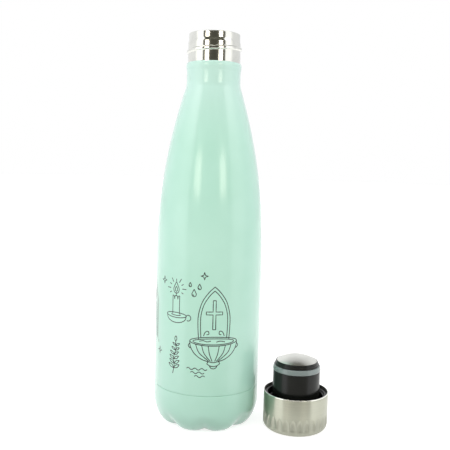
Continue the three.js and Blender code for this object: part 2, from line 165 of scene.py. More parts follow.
class CapSizes(bpy.types.PropertyGroup):
    radius: length("Cap radius", "Outer radius of the steel cup", half_width("cap_shell"))
    height: length("Cap height", "Height of the steel cup", top("cap_shell"))
    sheet: length("Cap sheet", "Thickness of the cup's sheet", 0.6 * MM)
    corner: length("Cap corner", "Radius of the cup's closed end", 4.2 * MM)
    hem: length("Hem", "Rounding of the cup's rim", 0.3 * MM)
    hem_line: length("Hem line", "Depth of the fine line turned under the rim", 0.12 * MM)
    hem_width: length("Hem width", "How far under the rim that line is", 1.15 * MM)
    flutes: count("Flutes", "Flutes pressed round the closed end", 30)
    flute_depth: length("Flute depth", "Depth of a flute", 0.5 * MM)
    flute_low: length("Flute low end", "Where the flutes begin", 2.6 * MM)
    flute_high: length("Flute high end", "Where their points end", 11.6 * MM)
    flute_phase: turn("Flute phase", "Turn of the first flute from the front", 2.4)
    steps_per_flute: count("Steps per flute", "Facets in each flute", 14)
    liner_radius: length("Liner radius", "Outer radius of the liner", half_width("cap_liner"))
    liner_top: length("Liner top", "Height of the liner's rim", top("cap_liner"))
    liner_foot: length("Liner foot", "Underside of the liner", bottom("cap_liner"))
    liner_bore: length("Liner bore", "Inner radius of the liner", 18 * MM)
    liner_floor: length("Liner floor", "Thickness of the liner's floor", 1.8 * MM)
    stop_height: length("Stop height", "Height of the stop for the lip, over the liner's foot", 4.7 * MM)
    well_radius: length("Well radius", "Radius of the well that holds the plug", 15.45 * MM)
    spigot_height: length("Spigot height", "Height of the spigot inside the plug", 5 * MM)
    spigot_wall: length("Spigot wall", "Wall of that spigot", 1.6 * MM)
    thread_rise: length("Inner thread rise", "Height of the liner's ridge", 0.7 * MM)
    thread_width: length("Inner thread width", "Width of the liner's ridge", 2.2 * MM)
    thread_drop: length("Inner thread drop", "How far below the cup's rim it begins", 3.2 * MM)
    thread_pitch: length("Inner thread pitch", "Fall of the ridge in one turn", 5.4 * MM)
    thread_turns: share("Inner thread turns", "Turns of the ridge", 1.4)
    thread_begin: turn("Inner thread begin", "Where it begins, from the front", 130)
    facets: count("Facets", "Facets round the liner", 144)


class PlugSizes(bpy.types.PropertyGroup):
    foot: length("Plug foot", "Lower end of the plug", bottom("plug_body"))
    bed_top: length("Bed top", "Upper end of the seal's bed", top("plug_body"))
    radius: length("Plug radius", "Radius under the seal", 15.05 * MM)
    foot_radius: length("Plug foot radius", "Radius at the foot", half_width("plug_body"))
    bore: length("Plug bore", "Inner radius of the hollow plug", 12.45 * MM)
    seal_low: length("Seal foot", "Lower edge of the seal", bottom("seal_ring"))
    seal_top: length("Seal top", "Upper edge of the seal", top("seal_ring"))
    seal_radius: length("Seal radius", "Largest radius of the seal", half_width("seal_ring"))
    seal_taper: length("Seal taper", "How much the seal narrows upwards", 0.5 * MM)
    seal_bed: length("Seal bed", "Radius of the bed under the seal", 13.55 * MM)
    tip_top: length("Tip top", "Upper end of the tip", top("plug_tip"))
    tip_foot: length("Tip foot", "Lower end of the tip's skirt", bottom("plug_tip"))
    tip_radius: length("Tip radius", "Radius of the tip's lower step", half_width("plug_tip"))
    tip_steps: count("Tip steps", "Steps of the tip", 3)
    tip_step: length("Tip step", "How much each step is narrower than the one below", 0.44 * MM)
    disc_radius: length("Disc radius", "Radius of the steel disc", half_width("end_disc"))
    disc_foot: length("Disc foot", "Underside of the disc", bottom("end_disc"))
    disc_top: length("Disc top", "Crown of the disc", top("end_disc"))
    disc_sheet: length("Disc sheet", "Thickness of the disc's sheet", 0.6 * MM)
    facets: count("Facets", "Facets round the plug", 144)


class PrintSizes(bpy.types.PropertyGroup):
    line: length("Line", "Width of the printed lines", 0.56 * MM)
    ink: length("Ink", "Thickness of the ink", 0.02 * MM)
    tall: share("Tall motifs", "Size of the tall motifs", 1.0)
    small: share("Small motifs", "Size of the small motifs", 1.0)


class Finishes(bpy.types.PropertyGroup):
    paint: colour("Paint", "Colour of the glossy paint", 195, 241, 225)
    paint_shade: colour("Paint shade", "Colour where the paint lies thicker", 187, 236, 218)
    # Painted light: the paint is made paler towards the neck, where more light falls from above; the paint
    # itself is one colour.
    paint_lit_near_neck: colour("Paint at the neck", "Colour where it lies thinner, towards the neck", 204, 243, 232)
    paint_foot: colour("Paint at the feet", "Colour in the shade between the petals' feet", 72, 128, 92)
    ink: colour("Ink", "Colour of the print", 12, 22, 18)
    polished: colour("Polished steel", "Colour of the bare neck", 229, 229, 222)
    satin: colour("Satin steel", "Colour of the brushed cap", 192, 193, 177)
    flask: colour("Flask steel", "Colour of the inside of the flask", 196, 195, 190)
    plastic: colour("Plastic", "Colour of the moulded liner and plug", 19, 21, 19)
    silicone: colour("Silicone", "Colour of the seal", 127, 141, 141)
    glass: colour("Sealing bead", "Colour of the bead in the port", 58, 60, 57)
    getter: colour("Getter", "Colour of the getter's metal", 110, 108, 104)
    foil: colour("Foil", "Colour of the reflecting foil", 214, 216, 218)
    foam: colour("Foam", "Colour of the foam in the plug", 238, 236, 228)
    floor: colour("Floor", "Colour of the floor", 194, 194, 194)


class StudioSettings(bpy.types.PropertyGroup):
    camera_place: FloatVectorProperty(
        name="Camera place", description="Where the camera stands", default=(9.7 * MM, -433 * MM, 171 * MM),
        size=3, subtype="TRANSLATION", unit="LENGTH",
    )
    camera_pitch: turn("Camera pitch", "How far the camera looks down", 5.51)
    camera_roll: turn("Camera roll", "How far the camera leans", 1.52)
    camera_lens: FloatProperty(
        name="Lens", description="Focal length in millimetres", default=53.28, subtype="DISTANCE_CAMERA",
    )
    box_distance: length("Softbox distance", "From the bottle's axis to a softbox", 0.65)
    box_left: turn("Left softbox", "Its turn from the front", -30.5)
    box_right: turn("Right softbox", "Its turn from the front", 29)
    box_width: length("Softbox width", "Width of a softbox", 0.17)
    box_low: length("Softbox low edge", "Height of its lower edge", 0.255)
    box_high: length("Softbox high edge", "Height of its upper edge", 0.42)
    box_light: share("Softbox light", "Radiance of a softbox, 1 is white", 5.1)
    opening: turn("Dark opening", "Half the width of the tent's opening in front", 50)
    tent_side: share("Tent side", "Radiance of the tent at the sides", 1.38)
    tent_high: share("Tent high", "How much brighter the sides are high up", 0.8)
    tent_front: share("Tent front", "How much brighter still it is over the opening", 1.5)
    tent_back: share("Tent back", "Radiance of the tent behind", 0.9)
    tent_left: share("Tent left", "How much brighter the left side is", 0.13)
    floor_front: length("Floor front", "How far the floor reaches in front of the bottle's axis", 0.071)
    floor_glow: share("Floor glow", "Light that the floor adds for the camera and mirrors", 0.78)


class Mark:
    """A value in a material. Arithmetic on it adds Math nodes."""

    def __init__(self, recipe, socket):
        self.recipe = recipe
        self.socket = socket

    def reckon(self, operation, *values, clamp=False):
        settings = {"operation": operation, "use_clamp": clamp}
        return self.recipe.node("ShaderNodeMath", settings, dict(enumerate(values)))

    def __add__(self, other):
        return self.reckon("ADD", self, other)

    def __radd__(self, other):
        return self.reckon("ADD", other, self)

    def __sub__(self, other):
        return self.reckon("SUBTRACT", self, other)

    def __rsub__(self, other):
        return self.reckon("SUBTRACT", other, self)

    def __mul__(self, other):
        return self.reckon("MULTIPLY", self, other)

    def __rmul__(self, other):
        return self.reckon("MULTIPLY", other, self)

    def __truediv__(self, other):
        return self.reckon("DIVIDE", self, other)

    def __neg__(self):
        return self.reckon("MULTIPLY", self, -1)

    def sine(self):
        return self.reckon("SINE", self)

    def root(self):
        return self.reckon("SQRT", self)

    def held(self):
        """Kept between 0 and 1."""
        return self.reckon("ADD", self, 0, clamp=True)

    def eased(self, low, high, start=0.0, end=1.0):
        """Passes smoothly from start to end while the value goes from low to high."""
        settings = {"interpolation_type": "SMOOTHSTEP"}
        sockets = {"Value": self, "From Min": low, "From Max": high, "To Min": start, "To Max": end}
        return self.recipe.node("ShaderNodeMapRange", settings, sockets)


class Recipe:
    """The node tree of a material or of the world."""

    def __init__(self, tree):
        self.tree = tree
        tree.nodes.clear()

    def node(self, kind, settings=None, sockets=None, output=0):
        """A node as the mark of one output, or itself where output is None or it has none."""
        made = self.tree.nodes.new(kind)
        for key, value in (settings or {}).items():
            setattr(made, key, value)
        for key, value in (sockets or {}).items():
            if isinstance(value, Mark):
                self.tree.links.new(value.socket, made.inputs[key])
            else:
                made.inputs[key].default_value = value
        return made if output is None or not made.outputs else Mark(self, made.outputs[output])

    def place(self, centre=(0, 0, 0), scale=(1, 1, 1)):
        """Object coordinates in metres, centred and stretched."""
        at = self.node("ShaderNodeTexCoord", output="Object")
        shift = tuple(-c * s for c, s in zip(centre, scale))
        return self.node("ShaderNodeMapping", None, {"Vector": at, "Location": shift, "Scale": scale})

    def noise(self, vector, scale, detail=2.0, roughness=0.5):
        sockets = {"Vector": vector, "Scale": scale, "Detail": detail, "Roughness": roughness}
        return self.node("ShaderNodeTexNoise", {"noise_dimensions": "3D"}, sockets)

    def cells(self, vector, scale, feature="F1"):
        return self.node("ShaderNodeTexVoronoi", {"feature": feature}, {"Vector": vector, "Scale": scale})

    def between(self, factor, first, second):
        """One colour passing into another."""
        first, second = (c if isinstance(c, Mark) else (*c, 1) for c in (first, second))
        return self.node("ShaderNodeMix", {"data_type": "RGBA"}, {0: factor, 6: first, 7: second}, output=2)

    def axes(self, vector):
        made = self.node("ShaderNodeSeparateXYZ", None, {0: vector}, output=None)
        return [Mark(self, socket) for socket in made.outputs]

    def reach(self, vector):
        """How far a point is from the axis that the vector is centred on."""
        x, y = self.axes(vector)[:2]
        return (x * x + y * y).root()

    def bump(self, height, distance):
        return self.node("ShaderNodeBump", None, {"Height": height, "Distance": distance})


class Finish(Recipe):
    """A material with one Principled shader."""

    def __init__(self, name, **sockets):
        self.material = bpy.data.materials.new(f"finish_{name}")
        self.material.use_nodes = True
        super().__init__(self.material.node_tree)
        self.shader = self.node("ShaderNodeBsdfPrincipled", output=None)
        surface = Mark(self, self.shader.outputs[0])
        self.output = self.node("ShaderNodeOutputMaterial", None, {"Surface": surface})
        self.set(**sockets)

    def set(self, **sockets):
        for key, value in sockets.items():
            socket = self.shader.inputs[key.replace("_", " ")]
            if isinstance(value, Mark):
                self.tree.links.new(value.socket, socket)
            elif key.endswith("Color"):
                socket.default_value = (*value, 1)
            else:
                socket.default_value = value


def toned(tone, share_of):
    """A colour made lighter or darker."""
    return tuple(min(1, c * share_of) for c in tone)


def mint_paint(finishes):
    """Glossy baked paint: slight clouding, orange peel, fine dust, painted light paler towards the neck, and
    painted shade between the petals' feet.
    """
    lit_between = (180 * MM, 222 * MM)
    shade_within = (23.5 * MM, 26 * MM)
    shade_below = (1.5 * MM, 4.5 * MM)
    made = Finish("mint_paint", Coat_Weight=1.0, Coat_Roughness=0.15, Coat_IOR=1.5, Specular_IOR_Level=0.25)
    at = made.place()
    clouds = made.noise(at, 22, 3)
    fleck = made.noise(at, 1900, 2)
    tone = made.between(clouds.eased(0.35, 0.7), finishes.paint, finishes.paint_shade)
    height = made.axes(at)[2]
    # Painted light: paler paint up towards the neck, standing in for the stronger light there.
    tone = made.between(height.eased(*lit_between), tone, finishes.paint_lit_near_neck)
    foot = (1 - made.reach(at).eased(*shade_within)) * (1 - height.eased(*shade_below))
    tone = made.between(foot * 0.85, tone, finishes.paint_foot)
    made.set(Base_Color=made.between(fleck.eased(0.62, 0.8, 0, 0.25), tone, toned(finishes.paint, 1.08)))
    made.set(Roughness=0.3 + clouds * 0.08)
    peel = made.noise(at, 420, 2, 0.4) + made.noise(at, 60, 1) * 1.5
    made.set(Normal=made.bump(peel, 0.012 * MM))
    return made.material


def print_ink(finishes):
    """Screen ink: near black green, thin in places."""
    made = Finish("print_ink", Roughness=0.4, Coat_Weight=0.2)
    at = made.place()
    thin = made.noise(at, 800, 3).eased(0.4, 0.75)
    made.set(Base_Color=made.between(thin * 0.2, finishes.ink, toned(finishes.paint, 0.4)))
    made.set(Roughness=0.36 + thin * 0.15)
    return made.material


def polished_steel(finishes):
    """Rolled and polished steel: faint lines round the neck, small scuffs."""
    made = Finish("polished_steel", Metallic=1.0)
    at = made.place()
    lines = made.noise(made.place(scale=(30, 30, 9000)), 1, 3, 0.6)
    smudge = made.noise(at, 130, 3)
    worn = toned(finishes.polished, 0.9)
    made.set(Base_Color=made.between(smudge.eased(0.35, 0.75), finishes.polished, worn))
    made.set(Roughness=0.09 + smudge * 0.04 + lines * 0.03)
    made.set(Normal=made.bump(lines, 0.0005 * MM))
    return made.material


def brushed_steel(finishes, name, centre=(0, 0, 0), rim=1.0, bore=0.0):
    """Brushed steel: fine lines round the axis, burnished at the rim, painted shade in the bore and low down.
    """
    burnished_from = (rim - 0.8 * MM, rim - 0.35 * MM)
    bore_edge = (bore + 0.08 * MM, bore + 0.2 * MM)
    bore_shade_from = (14 * MM, 15 * MM)
    low_shade_below = (6 * MM, 13 * MM)
    made = Finish(name, Metallic=1.0, Anisotropic=0.92, Anisotropic_Rotation=0.25)
    fine = made.noise(made.place(centre, (60, 60, 16000)), 1, 4, 0.7)
    broad = made.noise(made.place(centre, (25, 25, 1800)), 1, 3, 0.6)
    smudge = made.noise(made.place(centre), 90, 3)
    tone = made.between(fine.eased(0.3, 0.7), toned(finishes.satin, 0.86), toned(finishes.satin, 1.06))
    tone = made.between(broad.eased(0.3, 0.75, 0, 0.5), tone, toned(finishes.satin, 0.92))
    height = made.axes(made.place())[2]
    burnished = height.eased(*burnished_from)
    # Painted shade and reflection: the cup's inner wall is made near black, as it mirrors the black liner and
    # plug and lies in shade.
    inside = (1 - made.reach(made.place(centre)).eased(*bore_edge)) * height.eased(*bore_shade_from)
    # Painted shade: the cup is made darker low down, where it mirrors the darker ground in front of it.
    painted_low_shade = 1 - height.eased(*low_shade_below)
    tone = made.between(painted_low_shade * 0.8, tone, toned(finishes.satin, 0.66))
    tone = made.between(burnished, tone, toned(finishes.polished, 1.1))
    made.set(Base_Color=made.between(inside, tone, toned(finishes.satin, 0.12)))
    made.set(Roughness=(0.27 + fine * 0.06 + smudge * 0.04) * (1 - 0.6 * burnished))
    made.set(Normal=made.bump(fine + broad, 0.0012 * MM))
    return made.material


def satin_steel(finishes):
    """The cap's brushed cup."""
    cap = bpy.context.scene.cap_sizes
    return brushed_steel(finishes, "satin_steel", middle("cap_shell"), cap.height, cap.radius - cap.sheet)


def clip_steel(finishes):
    """The getter's spring clip, brushed all over."""
    return brushed_steel(finishes, "clip_steel")


def turned_steel(name, centre, tone, roughness, spacing):
    """Steel with fine rings round an axis, as a disc shows."""
    made = Finish(name, Metallic=1.0)
    at = made.place(centre)
    ripple = (made.reach(at) * (2 * math.pi / spacing) + made.noise(at, 200, 2) * 5).sine()
    smudge = made.noise(at, 120, 3)
    made.set(Base_Color=made.between(smudge.eased(0.35, 0.75), tone, toned(tone, 0.9)))
    made.set(Roughness=roughness + smudge * 0.06 + ripple * 0.015)
    made.set(Normal=made.bump(ripple, 0.0009 * MM))
    return made.material


def plate_steel(finishes):
    """The plate under the base, with coarse rings."""
    return turned_steel("plate_steel", (0, 0, 0), finishes.satin, 0.24, 0.5 * MM)


def disc_steel(finishes):
    """The pale disc in the plug's tip, with fine rings."""
    return turned_steel("disc_steel", middle("cap_shell"), toned(finishes.polished, 1.13), 0.26, 0.35 * MM)


def flask_steel(finishes):
    """The inside of the flask: electrolytically brightened, with a broad grain round the axis."""
    made = Finish("flask_steel", Metallic=1.0)
    grain = made.noise(made.place(scale=(20, 20, 1500)), 1, 3, 0.6)
    spots = made.noise(made.place(), 300, 3)
    made.set(Base_Color=made.between(grain.eased(0.3, 0.7), toned(finishes.flask, 0.85), finishes.flask))
    made.set(Roughness=0.24 + spots * 0.12)
    made.set(Normal=made.bump(grain + spots * 0.5, 0.004 * MM))
    return made.material


def black_plastic(finishes):
    """Moulded black plastic with a fine spark-eroded grain and light wear."""
    made = Finish("black_plastic", Specular_IOR_Level=0.35)
    at = made.place()
    grain = made.noise(at, 2600, 3, 0.6)
    wear = made.noise(at, 140, 4, 0.65)
    made.set(Base_Color=made.between(wear.eased(0.45, 0.8), finishes.plastic, toned(finishes.plastic, 1.5)))
    made.set(Roughness=0.16 + grain * 0.08 + wear * 0.08)
    made.set(Normal=made.bump(grain, 0.003 * MM))
    return made.material


def grey_silicone(finishes):
    """Translucent looking grey silicone with a little dust on it."""
    made = Finish(
        "grey_silicone", Subsurface_Weight=0.12, Subsurface_Scale=1.2 * MM, Specular_IOR_Level=0.6,
        Coat_Weight=1.0, Coat_Roughness=0.1, Coat_IOR=1.6, Sheen_Weight=1.0, Sheen_Roughness=0.3,
    )
    made.shader.inputs["Subsurface Radius"].default_value = (1, 1, 1)
    at = made.place()
    dust = made.noise(at, 900, 4, 0.7)
    dusty = toned(finishes.silicone, 1.2)
    made.set(Base_Color=made.between(dust.eased(0.55, 0.75, 0, 0.6), finishes.silicone, dusty))
    made.set(Roughness=0.42 + dust * 0.2)
    made.set(Normal=made.bump(made.noise(at, 500, 2), 0.01 * MM))
    return made.material


def sealing_glass(finishes):
    """Dark glass solder, melted into the port."""
    made = Finish("sealing_glass", Coat_Weight=0.6, Coat_Roughness=0.08)
    swirl = made.noise(made.place(), 700, 3)
    made.set(Base_Color=made.between(swirl, toned(finishes.glass, 0.7), toned(finishes.glass, 1.3)))
    made.set(Roughness=0.15 + swirl * 0.15)
    return made.material


def getter_metal(finishes):
    """Sintered metal powder, rough and grey."""
    made = Finish("getter_metal", Metallic=1.0)
    grains = made.noise(made.place(), 3000, 4, 0.7)
    made.set(Base_Color=made.between(grains, toned(finishes.getter, 0.6), toned(finishes.getter, 1.3)))
    made.set(Roughness=0.6 + grains * 0.25, Normal=made.bump(grains, 0.03 * MM))
    return made.material


def foil(finishes):
    """Thin bright foil with soft crinkles."""
    made = Finish("foil", Metallic=1.0)
    cells = made.cells(made.place(), 260, "SMOOTH_F1")
    haze = made.noise(made.place(), 90, 2)
    made.set(Base_Color=made.between(haze, toned(finishes.foil, 0.9), finishes.foil))
    made.set(Roughness=0.2 + haze * 0.15, Normal=made.bump(cells, 0.12 * MM))
    return made.material


def white_foam(finishes):
    """Insulating foam with open cells."""
    made = Finish("white_foam", Subsurface_Weight=0.2, Subsurface_Scale=0.8 * MM)
    cells = made.cells(made.place(), 1400)
    made.set(Base_Color=made.between(cells.eased(0.1, 0.7), finishes.foam, toned(finishes.foam, 0.8)))
    made.set(Roughness=0.75 + cells * 0.2, Normal=made.bump(cells, 0.1 * MM))
    return made.material


FINISHES = {maker.__name__: maker for maker in (
    mint_paint, print_ink, polished_steel, satin_steel, clip_steel, plate_steel, disc_steel, flask_steel,
    black_plastic, grey_silicone, sealing_glass, getter_metal, foil, white_foam,
)}


def finish_called(name):
    """The material of that name, made when first asked for."""
    made = bpy.data.materials.get(f"finish_{name}")
    return made or FINISHES[name](bpy.context.scene.bottle_finishes)


def clear_selection():
    """Deselects everything, in object mode."""
    if bpy.context.object and bpy.context.object.mode != "OBJECT":
        bpy.ops.object.mode_set(mode="OBJECT")
    bpy.ops.object.select_all(action="DESELECT")


def pick(piece):
    """Makes a piece the only one selected, and the active one."""
    clear_selection()
    piece.select_set(True)
    bpy.context.view_layer.objects.active = piece


def arc(centre, radius, start, end, steps):
    """Points on an arc of a profile, both ends included."""
    angles = [start + (end - start) * i / steps for i in range(steps + 1)]
    return [(centre[0] + radius * math.cos(a), centre[1] + radius * math.sin(a)) for a in angles]


def softened(corners, steps=4):
    """A closed profile of (radius, height, rounding) corners, each rounded by its own radius."""
    profile = []
    for i, (radius, height, rounding) in enumerate(corners):
        here = Vector((radius, height))
        if rounding == 0:
            profile.append((radius, height))
            continue
        before = Vector(corners[i - 1][:2]) - here
        after = Vector(corners[(i + 1) % len(corners)][:2]) - here
        half = before.angle(after) / 2
        cut = min(rounding / math.tan(half), 0.48 * before.length, 0.48 * after.length)
        inward = (before.normalized() + after.normalized()).normalized()
        centre = here + inward * (cut / math.cos(half))
        ends = [here + before.normalized() * cut - centre, here + after.normalized() * cut - centre]
        start = math.atan2(ends[0].y, ends[0].x)
        sweep = (math.atan2(ends[1].y, ends[1].x) - start + math.pi) % (2 * math.pi) - math.pi
        profile += arc(centre, cut * math.tan(half), start, start + sweep, steps)
    return profile


def rows(radius, low, high, spacing):
    """Points up a straight side, close enough to carry a pressed shape."""
    steps = max(1, round(abs(high - low) / spacing))
    return [(radius, low + (high - low) * i / steps) for i in range(steps + 1)]


def turned(name, profile, facets, axis=(0, 0, 0)):
    """A closed profile, drawn point by point in front of the axis and spun round it."""
    clear_selection()
    bpy.ops.mesh.primitive_circle_add(vertices=3, radius=MM, location=axis)
    piece = bpy.context.object
    piece.name = piece.data.name = name
    bpy.ops.object.mode_set(mode="EDIT")
    bpy.ops.mesh.select_all(action="SELECT")
    bpy.ops.mesh.merge(type="CENTER")
    first = profile[0]
    bpy.ops.transform.translate(value=(0, -first[0], first[1]))
    on_axis = first[0] == 0
    points = profile if on_axis else [*profile, first]
    for here, there in zip(points, points[1:]):
        step = (0, here[0] - there[0], there[1] - here[1])
        bpy.ops.mesh.extrude_vertices_move(TRANSFORM_OT_translate={"value": step})
    bpy.ops.mesh.select_all(action="SELECT")
    bpy.ops.mesh.spin(steps=facets, angle=2 * math.pi, center=axis, axis=(0, 0, 1))
    bpy.ops.mesh.select_all(action="SELECT")
    bpy.ops.mesh.remove_doubles(threshold=0.004 * MM)
    bpy.ops.mesh.normals_make_consistent(inside=False)
    bpy.ops.object.mode_set(mode="OBJECT")
    return piece


def pressed(piece, depth_at, target):
    """Presses a shape into a turned piece, as deep as depth_at(azimuth, radius, height) says.

    The target is a radius beyond all the pressed points, which they move towards.
    """
    group = piece.vertex_groups.new(name="pressed")
    for vertex in piece.data.vertices:
        x, y, z = vertex.co
        radius = math.hypot(x, y)
        depth = depth_at(math.atan2(x, -y), radius, z)
        if depth:
            group.add([vertex.index], depth / (radius - target), "REPLACE")
    pick(piece)
    bpy.ops.object.modifier_add(type="CAST")
    cast = piece.modifiers[-1]
    cast.cast_type = "CYLINDER"
    cast.factor = 1
    cast.size = target
    cast.use_radius_as_size = False
    cast.use_z = False
    cast.vertex_group = group.name
    bpy.ops.object.modifier_apply(modifier=cast.name)
    piece.vertex_groups.clear()


def completed(piece, finish, body, node=None, crease=34):
    """Shades a piece, puts its place into its mesh and ties it to the frame."""
    pick(piece)
    bpy.ops.object.transform_apply(location=True, rotation=True, scale=True)
    bpy.ops.object.shade_smooth_by_angle(angle=math.radians(crease))
    piece.data.materials.clear()
    piece.data.materials.append(finish_called(finish))
    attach(piece, body)
    if node:
        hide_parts(node)
    return piece


def body_curve(sizes, depth, throat, fillet, arc_steps, fillet_steps):
    """The body's long shoulder at a depth under the paint, and the fillet up to a throat."""
    draw_in = sizes.radius - sizes.neck_radius
    sweep = (draw_in ** 2 + sizes.shoulder_length ** 2) / (2 * draw_in) - sizes.neck_fillet
    centre = (sizes.radius - sweep, sizes.seam_height + sizes.straight_length)
    radius = sweep - depth
    reach = throat + fillet - centre[0]
    rise = math.sqrt((radius + fillet) ** 2 - reach ** 2)
    lean = math.atan2(rise, reach)
    hollow = (throat + fillet, centre[1] + rise)
    shoulder = arc(centre, radius, 0, lean, arc_steps)
    return shoulder + arc(hollow, fillet, math.pi + lean, math.pi, fillet_steps)[1:]


def body_shell(sizes):
    """The painted shell, from the seam to its swollen upper edge."""
    groove = sizes.seam_groove
    foot = sizes.shell_top - sizes.bead_length
    bore = sizes.neck_radius - sizes.sheet
    waist = body_curve(sizes, 0, sizes.neck_radius, sizes.neck_fillet, 44, 10)
    swell = []
    for i in range(1, 8):
        bulge = math.sin(math.pi / 2 * min(1, i / 6)) ** 1.5
        swell.append((sizes.neck_radius + sizes.bead_rise * bulge, foot + sizes.bead_length * i / 10))
    outside = [
        (sizes.radius - groove, sizes.seam_height),
        (sizes.radius - 0.35 * groove, sizes.seam_height + 0.5 * groove),
        (sizes.radius, sizes.seam_height + 1.6 * groove),
        (sizes.radius, sizes.seam_height + 12 * groove),
        *waist,
        (sizes.neck_radius, foot),
        *swell,
        (sizes.neck_radius + 0.82 * sizes.bead_rise, sizes.shell_top - 0.9 * MM),
        (sizes.neck_radius + 0.45 * sizes.bead_rise, sizes.shell_top - 0.4 * MM),
        (sizes.neck_radius - 0.1 * sizes.sheet, sizes.shell_top - 0.08 * MM),
        (sizes.neck_radius - 0.4 * sizes.sheet, sizes.shell_top),
    ]
    inside = body_curve(sizes, sizes.sheet, bore, sizes.neck_fillet + sizes.sheet, 22, 6)
    inner = [(sizes.radius - sizes.sheet, sizes.seam_height), *inside, (bore, sizes.shell_top - FIT)]
    return turned("body_shell", [*outside, *reversed(inner)], sizes.facets)


def petal_base(sizes):
    """The pressed base: eight petals, a flat foot and the recess."""
    radius, sheet, groove = sizes.radius, sizes.sheet, sizes.seam_groove
    seam = sizes.seam_height - SEAM
    spigot = radius - sheet - FIT
    foot = radius - sizes.corner_width
    steps, inner_steps = 40, 12
    outside = []
    for i in range(steps + 1):
        around = math.pi / 2 * (1 - i / steps)
        reach = 0 if i == 0 else math.cos(around)
        outside.append((foot + sizes.corner_width * reach, sizes.corner_height * (1 - math.sin(around))))
    side = rows(radius, sizes.corner_height, seam - 1.6 * groove, 1.4 * MM)[1:]
    rim = [
        (radius - 0.35 * groove, seam - 0.5 * groove), (radius - groove, seam),
        (spigot, seam), (spigot, seam + SPIGOT),
    ]
    inner_foot = foot - 0.5 * MM
    width = radius - sheet - inner_foot
    inside = [
        (spigot - sheet, seam + SPIGOT), (spigot - sheet, seam - sheet), (radius - sheet, seam - 3 * sheet),
    ]
    for i in range(inner_steps + 1):
        around = math.pi / 2 * i / inner_steps
        reach = 0 if i == inner_steps else math.cos(around)
        drop = (sizes.corner_height - sheet) * math.sin(around)
        inside.append((inner_foot + width * reach, sizes.corner_height - drop))
    wall, floor = sizes.recess_radius, sizes.recess_depth
    port, boss, boss_top = 1 * MM, 5 * MM, 4.6 * MM
    recess = [
        (wall + sheet, sheet), (wall + sheet - FIT, floor + sheet), (boss, floor + sheet),
        (boss - sheet, boss_top), (port, boss_top),
    ]
    under = [
        (port, boss_top - sheet), (boss - 1.1 * MM, boss_top - sheet),
        (boss - 0.75 * MM, boss_top - 0.6 * MM), (boss - 0.55 * MM, floor + 0.3 * MM),
        (boss - 0.2 * MM, floor), (wall - 0.5 * MM, floor), (wall - 0.1 * MM, floor - 0.3 * MM),
        (wall, 0.25 * MM), (wall + 0.3 * MM, 0), (wall + 0.9 * MM, 0),
    ]
    piece = turned("petal_base", [*under, *outside, *side, *rim, *inside, *recess], sizes.facets)

    def valley(azimuth):
        wave = math.sqrt(math.sin(sizes.petals * azimuth / 2) ** 2 + sizes.notch_softness ** 2)
        return max(0, 1 - wave) ** sizes.notch_sharpness

    def depth(azimuth, reach, height):
        if height > sizes.notch_height or reach < foot - 0.6 * MM:
            return 0
        return sizes.notch * (1 - height / sizes.notch_height) ** sizes.notch_fade * valley(azimuth)

    core = 8 * MM
    pressed(piece, depth, core)
    return piece


def flask_wall(sizes, flask):
    """The inner flask from its seam to the throat."""
    inset = sizes.radius - flask.radius
    sheet = sizes.sheet
    outside = body_curve(sizes, inset, flask.throat, flask.throat_fillet, 36, 10)
    inside = body_curve(sizes, inset + sheet, flask.throat - sheet, flask.throat_fillet + sheet, 36, 10)
    outer = [(flask.radius, flask.seam_height), *outside, (flask.throat, flask.top)]
    inner = [(flask.radius - sheet, flask.seam_height), *inside, (flask.throat - sheet, flask.top)]
    return turned("flask_wall", [*outer, *reversed(inner)], flask.facets)


def flask_base(sizes, flask):
    """The inner base, with its spigot inside the flask's wall."""
    sheet = sizes.sheet
    seam = flask.seam_height - SEAM
    spigot = flask.radius - sheet - FIT
    centre = (flask.radius - flask.corner, flask.floor + flask.corner)
    quarter = math.pi / 2
    profile = [
        (0, flask.floor),
        *arc(centre, flask.corner, -quarter, 0, 16),
        (flask.radius, seam), (spigot, seam), (spigot, seam + SPIGOT), (spigot - sheet, seam + SPIGOT),
        (spigot - sheet, seam - sheet), (flask.radius - sheet, seam - 3 * sheet),
        *arc(centre, flask.corner - sheet, 0, -quarter, 16),
        (0, flask.floor + sheet),
    ]
    return turned("flask_base", profile, flask.facets)


def ridge(azimuth, height, thread, begin, start, lead, fade_in, fade_out):
    """How high a helical ridge stands: its line falls by one pitch a turn, clockwise seen from above."""
    sloping = 0.6
    turns = ((begin - azimuth) / (2 * math.pi) + 2) % 1
    highest = 0
    while turns < thread.thread_turns:
        line = start - thread.thread_pitch * turns
        across = abs(height - line) / (thread.thread_width / 2)
        fade = min(1, max(0, turns - lead) / fade_in, (thread.thread_turns - turns) / fade_out)
        if across < 1:
            flank = min(1, (1 - across) / sloping)
            highest = max(highest, thread.thread_rise * fade * flank * flank * (3 - 2 * flank))
        turns += 1
    return highest


